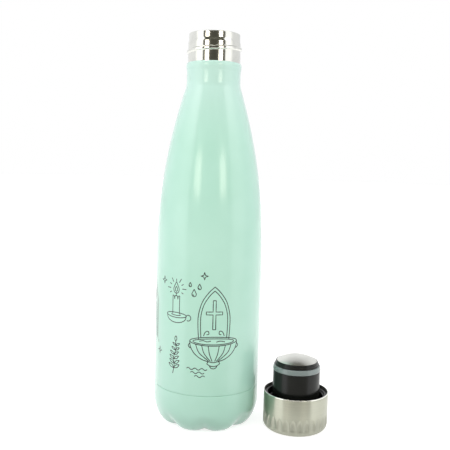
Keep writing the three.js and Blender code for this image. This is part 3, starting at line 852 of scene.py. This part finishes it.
def neck_tube(sizes, neck):
    """The bare threaded neck with its narrower rolled lip."""
    lip_base = neck.top - neck.lip_zone
    lip = neck.radius - neck.lip_inset
    flared = neck.foot + neck.flare
    low = sizes.shell_top + 1.5 * MM
    step = []
    for i in range(1, 9):
        inset = neck.lip_inset * (0.5 - 0.5 * math.cos(math.pi * i / 8))
        step.append((neck.radius - inset, lip_base + neck.lip_slope * i / 8))
    bore = lip - neck.wall
    inner_edge = 0.2 * MM
    roll = arc((lip - neck.lip_roll, neck.top - neck.lip_roll), neck.lip_roll, 0, math.pi / 2, 6)
    inner_roll = arc((bore, neck.top - inner_edge), inner_edge, math.pi / 2, math.pi, 5)
    profile = [
        (neck.foot_radius, neck.foot), (neck.radius - 0.15 * MM, flared - 0.5 * MM), (neck.radius, flared),
        *rows(neck.radius, low, lip_base, 0.2 * MM),
        *step,
        *rows(lip, lip_base + neck.lip_slope + 0.2 * MM, neck.top - 2 * neck.lip_roll, 0.5 * MM),
        *roll,
        *inner_roll,
        (bore - 0.12 * MM, neck.top - 0.75 * MM), (bore, neck.top - 1.6 * MM), (bore, lip_base),
        (neck.radius - neck.wall, lip_base - 1.5 * MM), (neck.radius - neck.wall, flared),
        (neck.foot_radius - sizes.sheet, neck.foot),
    ]
    piece = turned("neck_tube", profile, neck.facets)
    start = sizes.shell_top + neck.thread_front + neck.thread_pitch

    def raised(azimuth, reach, height):
        if reach < lip - 0.02 * MM or not low < height < neck.top - neck.lip_roll:
            return 0
        return -ridge(azimuth, height, neck, 0, start, neck.lead, neck.fade_in, neck.fade_out)

    pressed(piece, raised, neck.radius + 2 * MM)
    return piece


def cap_cup(cap, axis):
    """The pressed cup of the cap, standing on its closed end, with pointed flutes above the corner."""
    bore = cap.radius - cap.sheet
    inner_corner = cap.corner - cap.sheet
    line = cap.height - cap.hem_width
    corner = (cap.radius - cap.corner, cap.corner)
    dish = 0.12 * MM
    hem = [(cap.radius, cap.height, cap.hem), (bore, cap.height, 0.12 * MM), (bore, cap.height / 2, 0)]
    profile = [
        (0, dish), (corner[0] - 1.2 * MM, dish), (corner[0] - 0.6 * MM, 0),
        *arc(corner, cap.corner, -math.pi / 2, 0, 14),
        *rows(cap.radius, cap.corner + 0.2 * MM, cap.flute_high + 0.4 * MM, 0.22 * MM),
        (cap.radius, line - 1.4 * cap.hem_line), (cap.radius - cap.hem_line, line - 0.4 * cap.hem_line),
        (cap.radius - cap.hem_line, line + 0.4 * cap.hem_line), (cap.radius, line + 1.4 * cap.hem_line),
        *softened(hem)[:-1],
        *arc(corner, inner_corner, 0, -math.pi / 2, 8),
        (0, cap.sheet),
    ]
    piece = turned("cap_cup", profile, cap.flutes * cap.steps_per_flute, axis)
    pitch = 2 * math.pi / cap.flutes
    widest, pointed_from, risen_by = 0.9, 0.45, 0.3

    def depth(azimuth, reach, height):
        along = (height - cap.flute_low) / (cap.flute_high - cap.flute_low)
        if not 0 < along < 1 or reach < cap.radius - 1.2 * MM:
            return 0
        off = abs((azimuth - cap.flute_phase + pitch / 2) % pitch - pitch / 2) / (pitch / 2)
        width = widest * (1 - max(0, (along - pointed_from) / (1 - pointed_from)) ** 1.7)
        if off >= width:
            return 0
        rise = math.sin(math.pi / 2 * min(1, along / risen_by))
        return cap.flute_depth * rise * (1 - (off / width) ** 2) ** 0.6 * min(1, 0.25 + 1.2 * width)

    pressed(piece, depth, cap.radius - 5 * MM)
    return piece


def cap_lining(cap, axis):
    """The moulded liner: threaded wall, floor, stop for the lip and the spigot inside the plug."""
    floor = cap.liner_foot + cap.liner_floor
    stop = cap.liner_foot + cap.stop_height
    corner = cap.corner - cap.sheet
    bore = cap.liner_bore
    spigot = 12.35 * MM
    edge = 0.4 * MM
    quarter = math.pi / 2
    profile = [
        (0, cap.liner_foot),
        *arc((cap.liner_radius - corner, cap.liner_foot + corner), corner, -quarter, 0, 6),
        (cap.liner_radius, cap.liner_top - 0.25 * MM), (cap.liner_radius - 0.25 * MM, cap.liner_top),
        (bore + 0.6 * MM, cap.liner_top), (bore + 0.25 * MM, cap.liner_top - 0.15 * MM),
        (bore, cap.liner_top - 0.6 * MM),
        *rows(bore, cap.liner_top - 1 * MM, stop + 1.5 * MM, 0.2 * MM),
        (bore, stop + 0.3 * MM), (bore - 0.3 * MM, stop),
        (cap.well_radius + 0.2 * MM, stop), (cap.well_radius, stop - 0.2 * MM), (cap.well_radius, floor),
        (spigot, floor), (spigot, floor + cap.spigot_height - edge),
        (spigot - edge, floor + cap.spigot_height), (spigot - cap.spigot_wall, floor + cap.spigot_height),
        (spigot - cap.spigot_wall, floor), (0, floor),
    ]
    piece = turned("cap_lining", profile, cap.facets, axis)
    start = cap.height - cap.thread_drop

    def inwards(azimuth, reach, height):
        if abs(reach - bore) > 0.02 * MM or not stop + MM < height < cap.liner_top - 0.8 * MM:
            return 0
        return ridge(azimuth, height, cap, cap.thread_begin, start, -0.1, 0.2, 0.2)

    pressed(piece, inwards, bore - 3 * MM)
    return piece


def plug_barrel(plug, axis):
    """The hollow stopper with the seal's bed."""
    shoulder = plug.seal_low - FIT
    corners = [
        (plug.bore, plug.foot, 0.15 * MM), (plug.foot_radius, plug.foot, 0.3 * MM),
        (plug.radius, shoulder, 0.25 * MM), (plug.seal_bed, shoulder, 0),
        (plug.seal_bed, plug.bed_top, 0.15 * MM), (plug.bore, plug.bed_top, 0.15 * MM),
    ]
    return turned("plug_barrel", softened(corners), plug.facets, axis)


def plug_seal(plug, axis):
    """The silicone band: rounded lip at its foot, a slight waist and a rounded crown."""
    inner = plug.seal_bed + FIT
    outer = plug.seal_radius
    crown = outer - plug.seal_taper
    corners = [
        (inner, plug.seal_low, 0.1 * MM), (outer, plug.seal_low, 0.5 * MM),
        (outer - 0.02 * MM, plug.seal_low + 1.1 * MM, 0.6 * MM),
        (crown + 0.16 * MM, plug.seal_low + 2.2 * MM, 0.6 * MM),
        (crown + 0.1 * MM, plug.seal_top, 0.55 * MM), (inner, plug.seal_top, 0.1 * MM),
    ]
    return turned("plug_seal", softened(corners, 6), plug.facets, axis)


def plug_tip(plug, axis):
    """The stepped tip that holds the seal in and carries the disc."""
    base = plug.seal_top + FIT
    skirt = plug.bore - FIT
    inner_skirt = skirt - 1.4 * MM
    seat = plug.disc_foot - FIT
    rim = plug.disc_radius + FIT
    step = (plug.tip_top - base) / plug.tip_steps
    corners = [
        (inner_skirt, base, 0), (inner_skirt, plug.tip_foot, 0.2 * MM), (skirt, plug.tip_foot, 0.2 * MM),
        (skirt, base, 0),
    ]
    for i in range(plug.tip_steps):
        edge = plug.tip_radius - i * plug.tip_step
        corners += [
            (edge, base + i * step + 0.02 * MM, 0.05 * MM), (edge, base + (i + 0.75) * step, 0.22 * MM),
            (edge - 0.35 * MM, base + (i + 1) * step, 0.1 * MM),
        ]
    corners += [(rim, plug.tip_top, 0.06 * MM), (rim, seat, 0)]
    profile = [(0, base), *softened(corners), (0, seat)]
    return turned("plug_tip_cap", profile, plug.facets, axis)


def tip_disc(plug, axis):
    """The domed steel disc: pressed from sheet, standing on its rim in the tip."""
    rim = plug.tip_top
    dome = plug.disc_top - rim
    ball = (plug.disc_radius ** 2 + dome ** 2) / (2 * dome)
    centre = (0, plug.disc_top - ball)
    spread = math.asin(plug.disc_radius / ball)
    inner_radius = plug.disc_radius - plug.disc_sheet
    inner_spread = math.asin(inner_radius / (ball - plug.disc_sheet))
    quarter = math.pi / 2
    outside = arc(centre, ball, quarter - spread, quarter, 30)[:-1]
    inside = arc(centre, ball - plug.disc_sheet, quarter, quarter - inner_spread, 20)[1:]
    profile = [
        (0, plug.disc_top - plug.disc_sheet), *inside,
        (inner_radius, plug.disc_foot), (plug.disc_radius - 0.08 * MM, plug.disc_foot),
        (plug.disc_radius, plug.disc_foot + 0.08 * MM), *outside, (0, plug.disc_top),
    ]
    return turned("tip_disc", profile, plug.facets, axis)


def base_disc(sizes):
    """The plate in the recess: a raised rim and a shallow dish."""
    low = bottom("base_plate")
    high = top("base_plate")
    reach = sizes.plate_radius
    dish = low + 0.25 * MM
    upper_edge = softened([(reach, high, 0.1 * MM), (4 * MM, high, 0), (4 * MM, low, 0)])[:-2]
    profile = [
        (0, dish), (12 * MM, dish), (13 * MM, low + 0.18 * MM), (14 * MM, low + 0.02 * MM), (15 * MM, low),
        (reach - 0.5 * MM, low), (reach - 0.15 * MM, low + 0.12 * MM), (reach, low + 0.3 * MM),
        *upper_edge, (0, high),
    ]
    return turned("base_disc", profile, sizes.facets // 2)


def through(*points, steps=5):
    """A smooth line through points, in millimetres."""
    line = []
    last = len(points) - 1
    for i in range(last):
        a, b, c, d = (points[max(0, min(last, j))] for j in (i - 1, i, i + 1, i + 2))
        for k in range(steps):
            t = k / steps
            line.append(tuple(
                0.5 * (2 * q + (r - p) * t + (2 * p - 5 * q + 4 * r - s) * t * t
                       + (3 * q - p - 3 * r + s) * t ** 3)
                for p, q, r, s in zip(a, b, c, d)
            ))
    return [*line, points[last]]


def oval(x, z, width, height, start=0, end=360, steps=20):
    """Part of an ellipse as a drawn line."""
    angles = [math.radians(start + (end - start) * i / steps) for i in range(steps + 1)]
    return [(x + width / 2 * math.cos(a), z + height / 2 * math.sin(a)) for a in angles]


def mirrored(strokes):
    """The strokes and their mirror images."""
    return strokes + [[(-x, z) for x, z in stroke] for stroke in strokes]


def stoup():
    """A wall stoup: a plate with a pointed head and a plain cross, over a ribbed basin."""
    plate = mirrored([
        through((-9.5, 16), (-10, 24), (-9.8, 31), (-7.6, 39), (-3.6, 45), (0, 48.5)),
        through((-8, 16.5), (-8.4, 24), (-8.2, 31), (-6.4, 37.6), (-3, 43), (0, 46)),
        through((-0.9, 22), (-0.9, 31.2), (-5, 31.2), (-5, 33), (-0.9, 33), (-0.9, 40), (0, 40), steps=1),
        through((-0.9, 22), (0, 22), steps=1),
        through((-6.4, 18), (-5.4, 20.4), (-3.6, 21), (-3.2, 19.2), (-4.6, 18.8)),
    ])
    basin = [oval(0, 14.5, 30, 5.6, steps=30), oval(0, 14.4, 26, 3.8, steps=26)]
    basin += mirrored([
        through((-15, 14.4), (-14.4, 10.6), (-11.6, 6.4), (-7.4, 3.4), (-3.2, 2)),
        through((-15, 13), (-15.9, 11.4), (-14.5, 9.8)),
        through((-3.2, 2), (-3.9, 0.6), (-2.4, -0.6), (-1.6, -2), (0, -2.6)),
    ])
    ribs = mirrored([
        through((-11.2, 12.6), (-9, 7.4), (-3, 2.4)),
        through((-7.4, 12), (-5.8, 7), (-1.9, 2.2)),
        through((-3.4, 11.7), (-2.5, 6.6), (-0.8, 2.1)),
    ])
    water = [
        through((-9, 14.6), (-6.6, 15.1), (-4.2, 14.4), (-1.8, 14.9)),
        through((1.5, 14.2), (4, 14.8), (7, 14.2)),
    ]
    collar = [through((-3.2, 2), (0, 1.4), (3.2, 2)), through((-2.4, -0.6), (0, -1.1), (2.4, -0.6))]
    return plate + basin + ribs + water + collar


def candle():
    """A candle in a plain holder, with rays about its flame."""
    body = mirrored([
        [(-2.6, 5), (-2.6, 16.5)],
        through((-2.6, 16.5), (-1.6, 16.1), (-1.2, 14.4), (-0.9, 16.2), (0, 16.4)),
        through((-7.5, 4.4), (-6.4, 1.6), (-3.2, 0), (0, -0.4)),
    ])
    flame = mirrored([through((0, 25.2), (-1.2, 22.9), (-2.1, 20.6), (-1.4, 18.6), (0, 17.9))])
    flame += mirrored([through((0, 22.4), (-0.8, 20.8), (-0.6, 19.5), (0, 19.1))])
    dish = [oval(0, 4.4, 15, 3.2, steps=24), oval(0, 4.9, 7.4, 1.5, 180, 360, 10)]
    handle = oval(8.8, 3.4, 3.4, 3.6, -120, 150, 12)
    rays = []
    for i in range(9):
        angle = math.radians(-30 + 30 * i)
        ends = (4.4, 7.2 if i % 2 else 6)
        rays.append([(reach * math.cos(angle), 21 + reach * math.sin(angle)) for reach in ends])
    wick = [(0, 16.4), (0, 18.6)]
    return body + flame + dish + [handle] + rays + [wick]


def arch_window():
    """A pointed window with two lights and a round opening above them."""
    frame_lines = mirrored([
        through((-9, 0), (-9, 21), (-8.2, 27), (-5, 33.5), (0, 38)),
        through((-7.8, 0.8), (-7.8, 21), (-7, 26.4), (-4.2, 32), (0, 36)),
        through((-6.6, 1.6), (-6.6, 17.4), (-5.4, 21.6), (-3.8, 23.4)),
        through((-1, 1.6), (-1, 17.4), (-2, 21.4), (-3.8, 23.4)),
        [(-6.6, 1.6), (-1, 1.6)],
        [(-6.6, 6.8), (-1, 6.8)],
        [(-6.6, 12.2), (-1, 12.2)],
        [(-3.8, 1.6), (-3.8, 22.6)],
        [(-10.6, 0), (-10.6, -1.6), (0, -1.6)],
        [(-10.6, 0), (0, 0)],
    ])
    rose = [oval(0, 27.6, 7, 7, steps=22), oval(0, 27.6, 2, 2, steps=10)]
    for i in range(6):
        angle = math.radians(60 * i + 30)
        rose.append(oval(2.25 * math.cos(angle), 27.6 + 2.25 * math.sin(angle), 2, 2, steps=10))
    return frame_lines + rose


def sprig():
    """A sprig for sprinkling, with paired leaves."""
    strokes = [through((0, 0), (1.2, 6), (0.8, 12), (2.6, 18), (2.2, 23), steps=7)]
    for i in range(6):
        z = 4 + 3.2 * i
        x = (0.9, 1.2, 1, 1.2, 2.1, 2.6)[i]
        for side in (-1, 1):
            size = 1 - 0.07 * i
            tip = (x + side * 4.6 * size, z + 3 * size)
            strokes.append(through((x, z), (x + side * 1.6 * size, z + 2.2 * size), tip))
            strokes.append(through((x, z), (x + side * 3 * size, z + 0.8 * size), tip))
    return strokes + [through((2.2, 23), (1.4, 25), (2.4, 26.8), (3.2, 25), (2.2, 23))]


def drops():
    """Three falling drops."""
    strokes = []
    left = [(0, 4.6), (-1, 2.6), (-1.75, 0.8), (-1.2, -0.7), (0, -1.2)]
    outline = left + [(-u, v) for u, v in left[-2::-1]]
    gleam = [(-0.9, 0.7), (-0.7, -0.1), (-0.1, -0.5)]
    for x, z, size in ((0, 0, 1), (4.2, 5.4, 0.75), (-3.2, 7, 0.6)):
        strokes.append(through(*[(x + size * u, z + size * v) for u, v in outline]))
        strokes.append(through(*[(x + size * u, z + size * v) for u, v in gleam], steps=3))
    return strokes


def water_lines():
    """Three short waves, one over the other."""
    strokes = []
    wave_length, wave_height, spacing, steps = 5.4, 0.7, 2.9, 12
    for row, (start, waves) in enumerate(((0, 3), (3.2, 2), (6.4, 1.5))):
        strokes.append([
            (start + wave_length * i / steps, wave_height * math.sin(2 * math.pi * i / steps) - spacing * row)
            for i in range(round(waves * steps) + 1)
        ])
    return strokes


def star(size=2.4):
    """A plain star of four points."""
    outline = []
    for i in range(9):
        reach = size if i % 2 == 0 else 0.3 * size
        outline.append((reach * math.sin(math.pi * i / 4), reach * math.cos(math.pi * i / 4)))
    return [outline]


def printed(name, strokes, azimuth, height, sizes, print_sizes, scale=1.0):
    """Strokes drawn on the bottle's straight side as raised lines, then pressed flat against the paint."""
    clear_selection()
    bpy.ops.mesh.primitive_circle_add(vertices=3, radius=MM, location=(0, 0, 0))
    bpy.ops.object.mode_set(mode="EDIT")
    bpy.ops.mesh.select_all(action="SELECT")
    bpy.ops.mesh.delete(type="VERT")

    def on_side(point):
        around = math.radians(azimuth) + point[0] * MM * scale / sizes.radius
        up = (height + point[1] * scale) * MM
        return Vector((sizes.radius * math.sin(around), -sizes.radius * math.cos(around), up))

    for stroke in strokes:
        places = [on_side(point) for point in stroke]
        bpy.ops.mesh.select_all(action="DESELECT")
        bpy.ops.mesh.primitive_circle_add(vertices=3, radius=0.1 * MM, location=places[0])
        bpy.ops.mesh.merge(type="CENTER")
        for here, there in zip(places, places[1:]):
            if (there - here).length > 1e-6:
                bpy.ops.mesh.extrude_vertices_move(TRANSFORM_OT_translate={"value": there - here})
    bpy.ops.mesh.select_all(action="SELECT")
    bpy.ops.mesh.subdivide(number_cuts=1)
    bpy.ops.object.mode_set(mode="OBJECT")
    bpy.ops.object.convert(target="CURVE")
    line = bpy.context.object
    line.data.dimensions = "3D"
    line.data.bevel_depth = print_sizes.line / 2
    line.data.bevel_resolution = 1
    line.data.use_fill_caps = True
    bpy.ops.object.convert(target="MESH")
    piece = bpy.context.object
    piece.name = piece.data.name = name
    bpy.ops.object.modifier_add(type="CAST")
    flatten = piece.modifiers[-1]
    flatten.cast_type = "CYLINDER"
    flatten.factor = 1 - print_sizes.ink / print_sizes.line
    flatten.size = sizes.radius + 0.7 * print_sizes.ink
    flatten.use_radius_as_size = False
    flatten.use_z = False
    bpy.ops.object.modifier_apply(modifier=flatten.name)
    return completed(piece, "print_ink", "bottle")


class BOTTLE_OT_body(bpy.types.Operator):
    """Make the painted shell and the petal base"""
    bl_idname = "bottle.body"
    bl_label = "Painted body"

    def execute(self, context):
        sizes = context.scene.bottle_sizes
        completed(body_shell(sizes), "mint_paint", "bottle", "outer_shell")
        completed(petal_base(sizes), "mint_paint", "bottle", "base_cup", crease=50)
        return {"FINISHED"}


class BOTTLE_OT_plate(bpy.types.Operator):
    """Make the steel plate under the base"""
    bl_idname = "bottle.plate"
    bl_label = "Base plate"

    def execute(self, context):
        completed(base_disc(context.scene.bottle_sizes), "plate_steel", "bottle", "base_plate")
        return {"FINISHED"}


class BOTTLE_OT_flask(bpy.types.Operator):
    """Make the inner flask that holds the water"""
    bl_idname = "bottle.flask"
    bl_label = "Inner flask"

    def execute(self, context):
        sizes, flask = context.scene.bottle_sizes, context.scene.flask_sizes
        completed(flask_wall(sizes, flask), "flask_steel", "bottle", "inner_flask")
        completed(flask_base(sizes, flask), "flask_steel", "bottle", "inner_base")
        return {"FINISHED"}


class BOTTLE_OT_neck(bpy.types.Operator):
    """Make the bare threaded neck"""
    bl_idname = "bottle.neck"
    bl_label = "Threaded neck"

    def execute(self, context):
        sizes, neck = context.scene.bottle_sizes, context.scene.neck_sizes
        completed(neck_tube(sizes, neck), "polished_steel", "bottle", "threaded_neck")
        return {"FINISHED"}


class BOTTLE_OT_print(bpy.types.Operator):
    """Print the motifs round the lower body"""
    bl_idname = "bottle.motifs"
    bl_label = "Print"

    def execute(self, context):
        sizes, lines = context.scene.bottle_sizes, context.scene.print_sizes
        leafy, slight = lines.small * 0.9, lines.small * 0.8
        layout = [
            ("stoup", stoup(), 8, 46, lines.tall),
            ("candle", candle(), -34, 71, lines.small),
            ("sprig", sprig(), -37, 38, leafy),
            ("waves", water_lines(), -20, 43, slight),
            ("drops", drops(), -13.5, 89, slight),
            ("window", arch_window(), -82, 56, lines.tall),
            ("stoup_back", stoup(), 188, 46, lines.tall),
            ("candle_back", candle(), 146, 71, lines.small),
            ("sprig_back", sprig(), 143, 38, leafy),
            ("window_back", arch_window(), -130, 56, lines.tall),
            ("drops_back", drops(), 166.5, 89, slight),
            ("waves_back", water_lines(), 160, 43, slight),
        ]
        for name, strokes, azimuth, height, scale in layout:
            printed(f"print_{name}", strokes, azimuth, height, sizes, lines, scale)
        stars = ((-3, 101), (-52, 96), (-60, 50), (-106, 84), (-105, 44), (177, 101), (128, 96))
        for i, (azimuth, height) in enumerate(stars):
            printed(f"print_star_{i + 1}", star(), azimuth, height, sizes, lines, lines.small)
        return {"FINISHED"}


class BOTTLE_OT_hidden(bpy.types.Operator):
    """Finish the parts between the walls and inside the plug"""
    bl_idname = "bottle.hidden"
    bl_label = "Hidden parts"

    def execute(self, context):
        kept = {
            "port_bead": "sealing_glass", "reflector_foil": "foil", "getter_clip": "clip_steel",
            "getter": "getter_metal", "plug_foam": "white_foam",
        }
        for node, finish in kept.items():
            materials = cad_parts[node].data.materials
            materials.clear()
            materials.append(finish_called(finish))
        return {"FINISHED"}


class BOTTLE_OT_cap(bpy.types.Operator):
    """Make the cap's steel cup and its moulded liner"""
    bl_idname = "bottle.cap"
    bl_label = "Cap"

    def execute(self, context):
        cap = context.scene.cap_sizes
        axis = middle("cap_shell")
        completed(cap_cup(cap, axis), "satin_steel", "cap", "cap_shell", crease=28)
        completed(cap_lining(cap, axis), "black_plastic", "cap", "cap_liner")
        return {"FINISHED"}


class BOTTLE_OT_plug(bpy.types.Operator):
    """Make the plug, its seal, its tip and the disc"""
    bl_idname = "bottle.plug"
    bl_label = "Plug"

    def execute(self, context):
        plug = context.scene.plug_sizes
        axis = middle("cap_shell")
        completed(plug_barrel(plug, axis), "black_plastic", "cap", "plug_body")
        completed(plug_seal(plug, axis), "grey_silicone", "cap", "seal_ring", crease=60)
        completed(plug_tip(plug, axis), "black_plastic", "cap", "plug_tip")
        completed(tip_disc(plug, axis), "disc_steel", "cap", "end_disc")
        return {"FINISHED"}


def softbox(name, azimuth, studio):
    """A soft rectangular lamp of warm light that looks at the bottle's axis."""
    warm_white = light_of(255, 247, 233)
    height = studio.box_high - studio.box_low
    place = Vector((math.sin(azimuth), -math.cos(azimuth), 0)) * studio.box_distance
    place.z = (studio.box_high + studio.box_low) / 2
    bpy.ops.object.light_add(type="AREA", location=place)
    lamp = bpy.context.object
    lamp.name = name
    lamp.data.shape = "RECTANGLE"
    lamp.data.size = studio.box_width
    lamp.data.size_y = height
    lamp.data.energy = studio.box_light * math.pi * studio.box_width * height
    lamp.data.color = warm_white
    facing = Matrix.Rotation(azimuth, 4, "Z") @ Matrix.Rotation(math.pi / 2, 4, "X")
    lamp.matrix_world = Matrix.Translation(place) @ facing


def light_tent(studio):
    """A light tent with a dark opening in front and a dark roof. The camera itself sees plain white."""
    white_cloth = light_of(252, 253, 255)
    table_edge = light_of(178, 176, 170)
    dark_room = light_of(67, 66, 58)
    dark_roof = light_of(66, 64, 55)
    world = bpy.data.worlds.new("light_tent")
    bpy.context.scene.world = world
    world.use_nodes = True
    made = Recipe(world.node_tree)
    x, y, z = made.axes(made.node("ShaderNodeTexCoord", output="Generated"))
    front = -y / (x * x + y * y + 1e-6).root()
    half, softness = studio.opening, 0.05
    opening = front.eased(math.cos(half + softness), math.cos(half - softness))
    beside = front.eased(-0.05, 0.25)
    behind = toned(white_cloth, studio.tent_back)
    back = made.between(z.eased(0.5, 0.85), behind, toned(behind, 0.65))
    side = made.between(beside, back, (1, 1, 1))
    room = made.between(z.eased(-0.02, 0.02), table_edge, dark_room)
    over_opening = z.eased(0.68, 0.8)
    ahead = made.between(over_opening, room, (1, 1, 1))
    open_tent = made.between(opening, side, ahead)
    tent = made.between(z.eased(0.84, 0.9), open_tent, dark_roof)
    brighter = z.eased(0.3, 0.65) * studio.tent_high + over_opening * opening * studio.tent_front
    to_the_left = 1 + x.eased(-0.6, 0.3, 1, 0) * studio.tent_left
    strength = (1 + beside * (studio.tent_side - 1 + brighter)) * to_the_left
    seen = made.node("ShaderNodeLightPath", output="Is Camera Ray")
    around = made.node("ShaderNodeBackground", None, {"Color": tent, "Strength": strength})
    plain = made.node("ShaderNodeBackground", None, {"Color": (1, 1, 1, 1), "Strength": 1.0})
    both = made.node("ShaderNodeMixShader", None, {0: seen, 1: around, 2: plain})
    made.node("ShaderNodeOutputWorld", None, {"Surface": both})


def white_floor(studio, finishes):
    """A white floor that glows a little for the camera and for mirrors, and still keeps its shadows."""
    clear_selection()
    reach = 3
    below = 0.02 * MM
    place = (0, reach - studio.floor_front, -below)
    bpy.ops.mesh.primitive_circle_add(vertices=192, radius=reach, fill_type="NGON", location=place)
    floor = bpy.context.object
    floor.name = floor.data.name = "floor"
    made = Finish("floor_paper", Roughness=0.9, Specular_IOR_Level=0.1)
    grain = made.noise(made.place(), 900, 2)
    made.set(Base_Color=made.between(grain * 0.5, finishes.floor, toned(finishes.floor, 0.985)))
    rays = made.node("ShaderNodeLightPath", output=None).outputs
    kinds = ("Camera", "Glossy", "Transmission")
    camera, glossy, transmitted = (Mark(made, rays[f"Is {kind} Ray"]) for kind in kinds)
    shown = (camera + glossy + transmitted).held() * studio.floor_glow
    glow = made.node("ShaderNodeEmission", None, {"Color": (1, 1, 1, 1), "Strength": shown})
    lit = made.node("ShaderNodeAddShader", None, {0: Mark(made, made.shader.outputs[0]), 1: glow})
    made.tree.links.new(lit.socket, made.output.inputs["Surface"])
    floor.data.materials.append(made.material)


class BOTTLE_OT_stage(bpy.types.Operator):
    """Set up the floor, the light tent, the softboxes and the camera"""
    bl_idname = "bottle.stage"
    bl_label = "Stage"

    def execute(self, context):
        studio = context.scene.studio_settings
        light_tent(studio)
        white_floor(studio, context.scene.bottle_finishes)
        softbox("softbox_left", studio.box_left, studio)
        softbox("softbox_right", studio.box_right, studio)
        bpy.ops.object.camera_add()
        camera = context.object
        camera.name = "camera"
        camera.data.sensor_width = 36  # mm
        camera.data.lens = studio.camera_lens
        camera.data.clip_start = 0.01
        place = Matrix.Translation(studio.camera_place)
        pitch = Matrix.Rotation(math.pi / 2 - studio.camera_pitch, 4, "X")
        camera.matrix_world = place @ pitch @ Matrix.Rotation(studio.camera_roll, 4, "Z")
        context.scene.camera = camera
        context.scene.view_settings.view_transform = "Standard"
        return {"FINISHED"}


OPERATORS = (
    BOTTLE_OT_stage, BOTTLE_OT_body, BOTTLE_OT_plate, BOTTLE_OT_flask, BOTTLE_OT_neck,
    BOTTLE_OT_print, BOTTLE_OT_hidden, BOTTLE_OT_cap, BOTTLE_OT_plug,
)


class VIEW3D_PT_bottle(bpy.types.Panel):
    bl_label = "Holy water bottle"
    bl_space_type = "VIEW_3D"
    bl_region_type = "UI"
    bl_category = "Bottle"

    def draw(self, context):
        for operator in OPERATORS:
            self.layout.operator(operator.bl_idname)


GROUPS = {
    "bottle_sizes": BottleSizes, "flask_sizes": FlaskSizes, "neck_sizes": NeckSizes, "cap_sizes": CapSizes,
    "plug_sizes": PlugSizes, "print_sizes": PrintSizes, "bottle_finishes": Finishes,
    "studio_settings": StudioSettings,
}


def register():
    for made in (*GROUPS.values(), *OPERATORS, VIEW3D_PT_bottle):
        bpy.utils.register_class(made)
    for name, group in GROUPS.items():
        setattr(bpy.types.Scene, name, PointerProperty(type=group))


def unregister():
    for name in GROUPS:
        delattr(bpy.types.Scene, name)
    for made in reversed((*GROUPS.values(), *OPERATORS, VIEW3D_PT_bottle)):
        bpy.utils.unregister_class(made)


def main():
    register()
    bpy.ops.bottle.stage()
    bpy.ops.bottle.body()
    bpy.ops.bottle.plate()
    bpy.ops.bottle.flask()
    bpy.ops.bottle.neck()
    bpy.ops.bottle.motifs()
    bpy.ops.bottle.hidden()
    bpy.ops.bottle.cap()
    bpy.ops.bottle.plug()


if __name__ == "__main__":
    main()
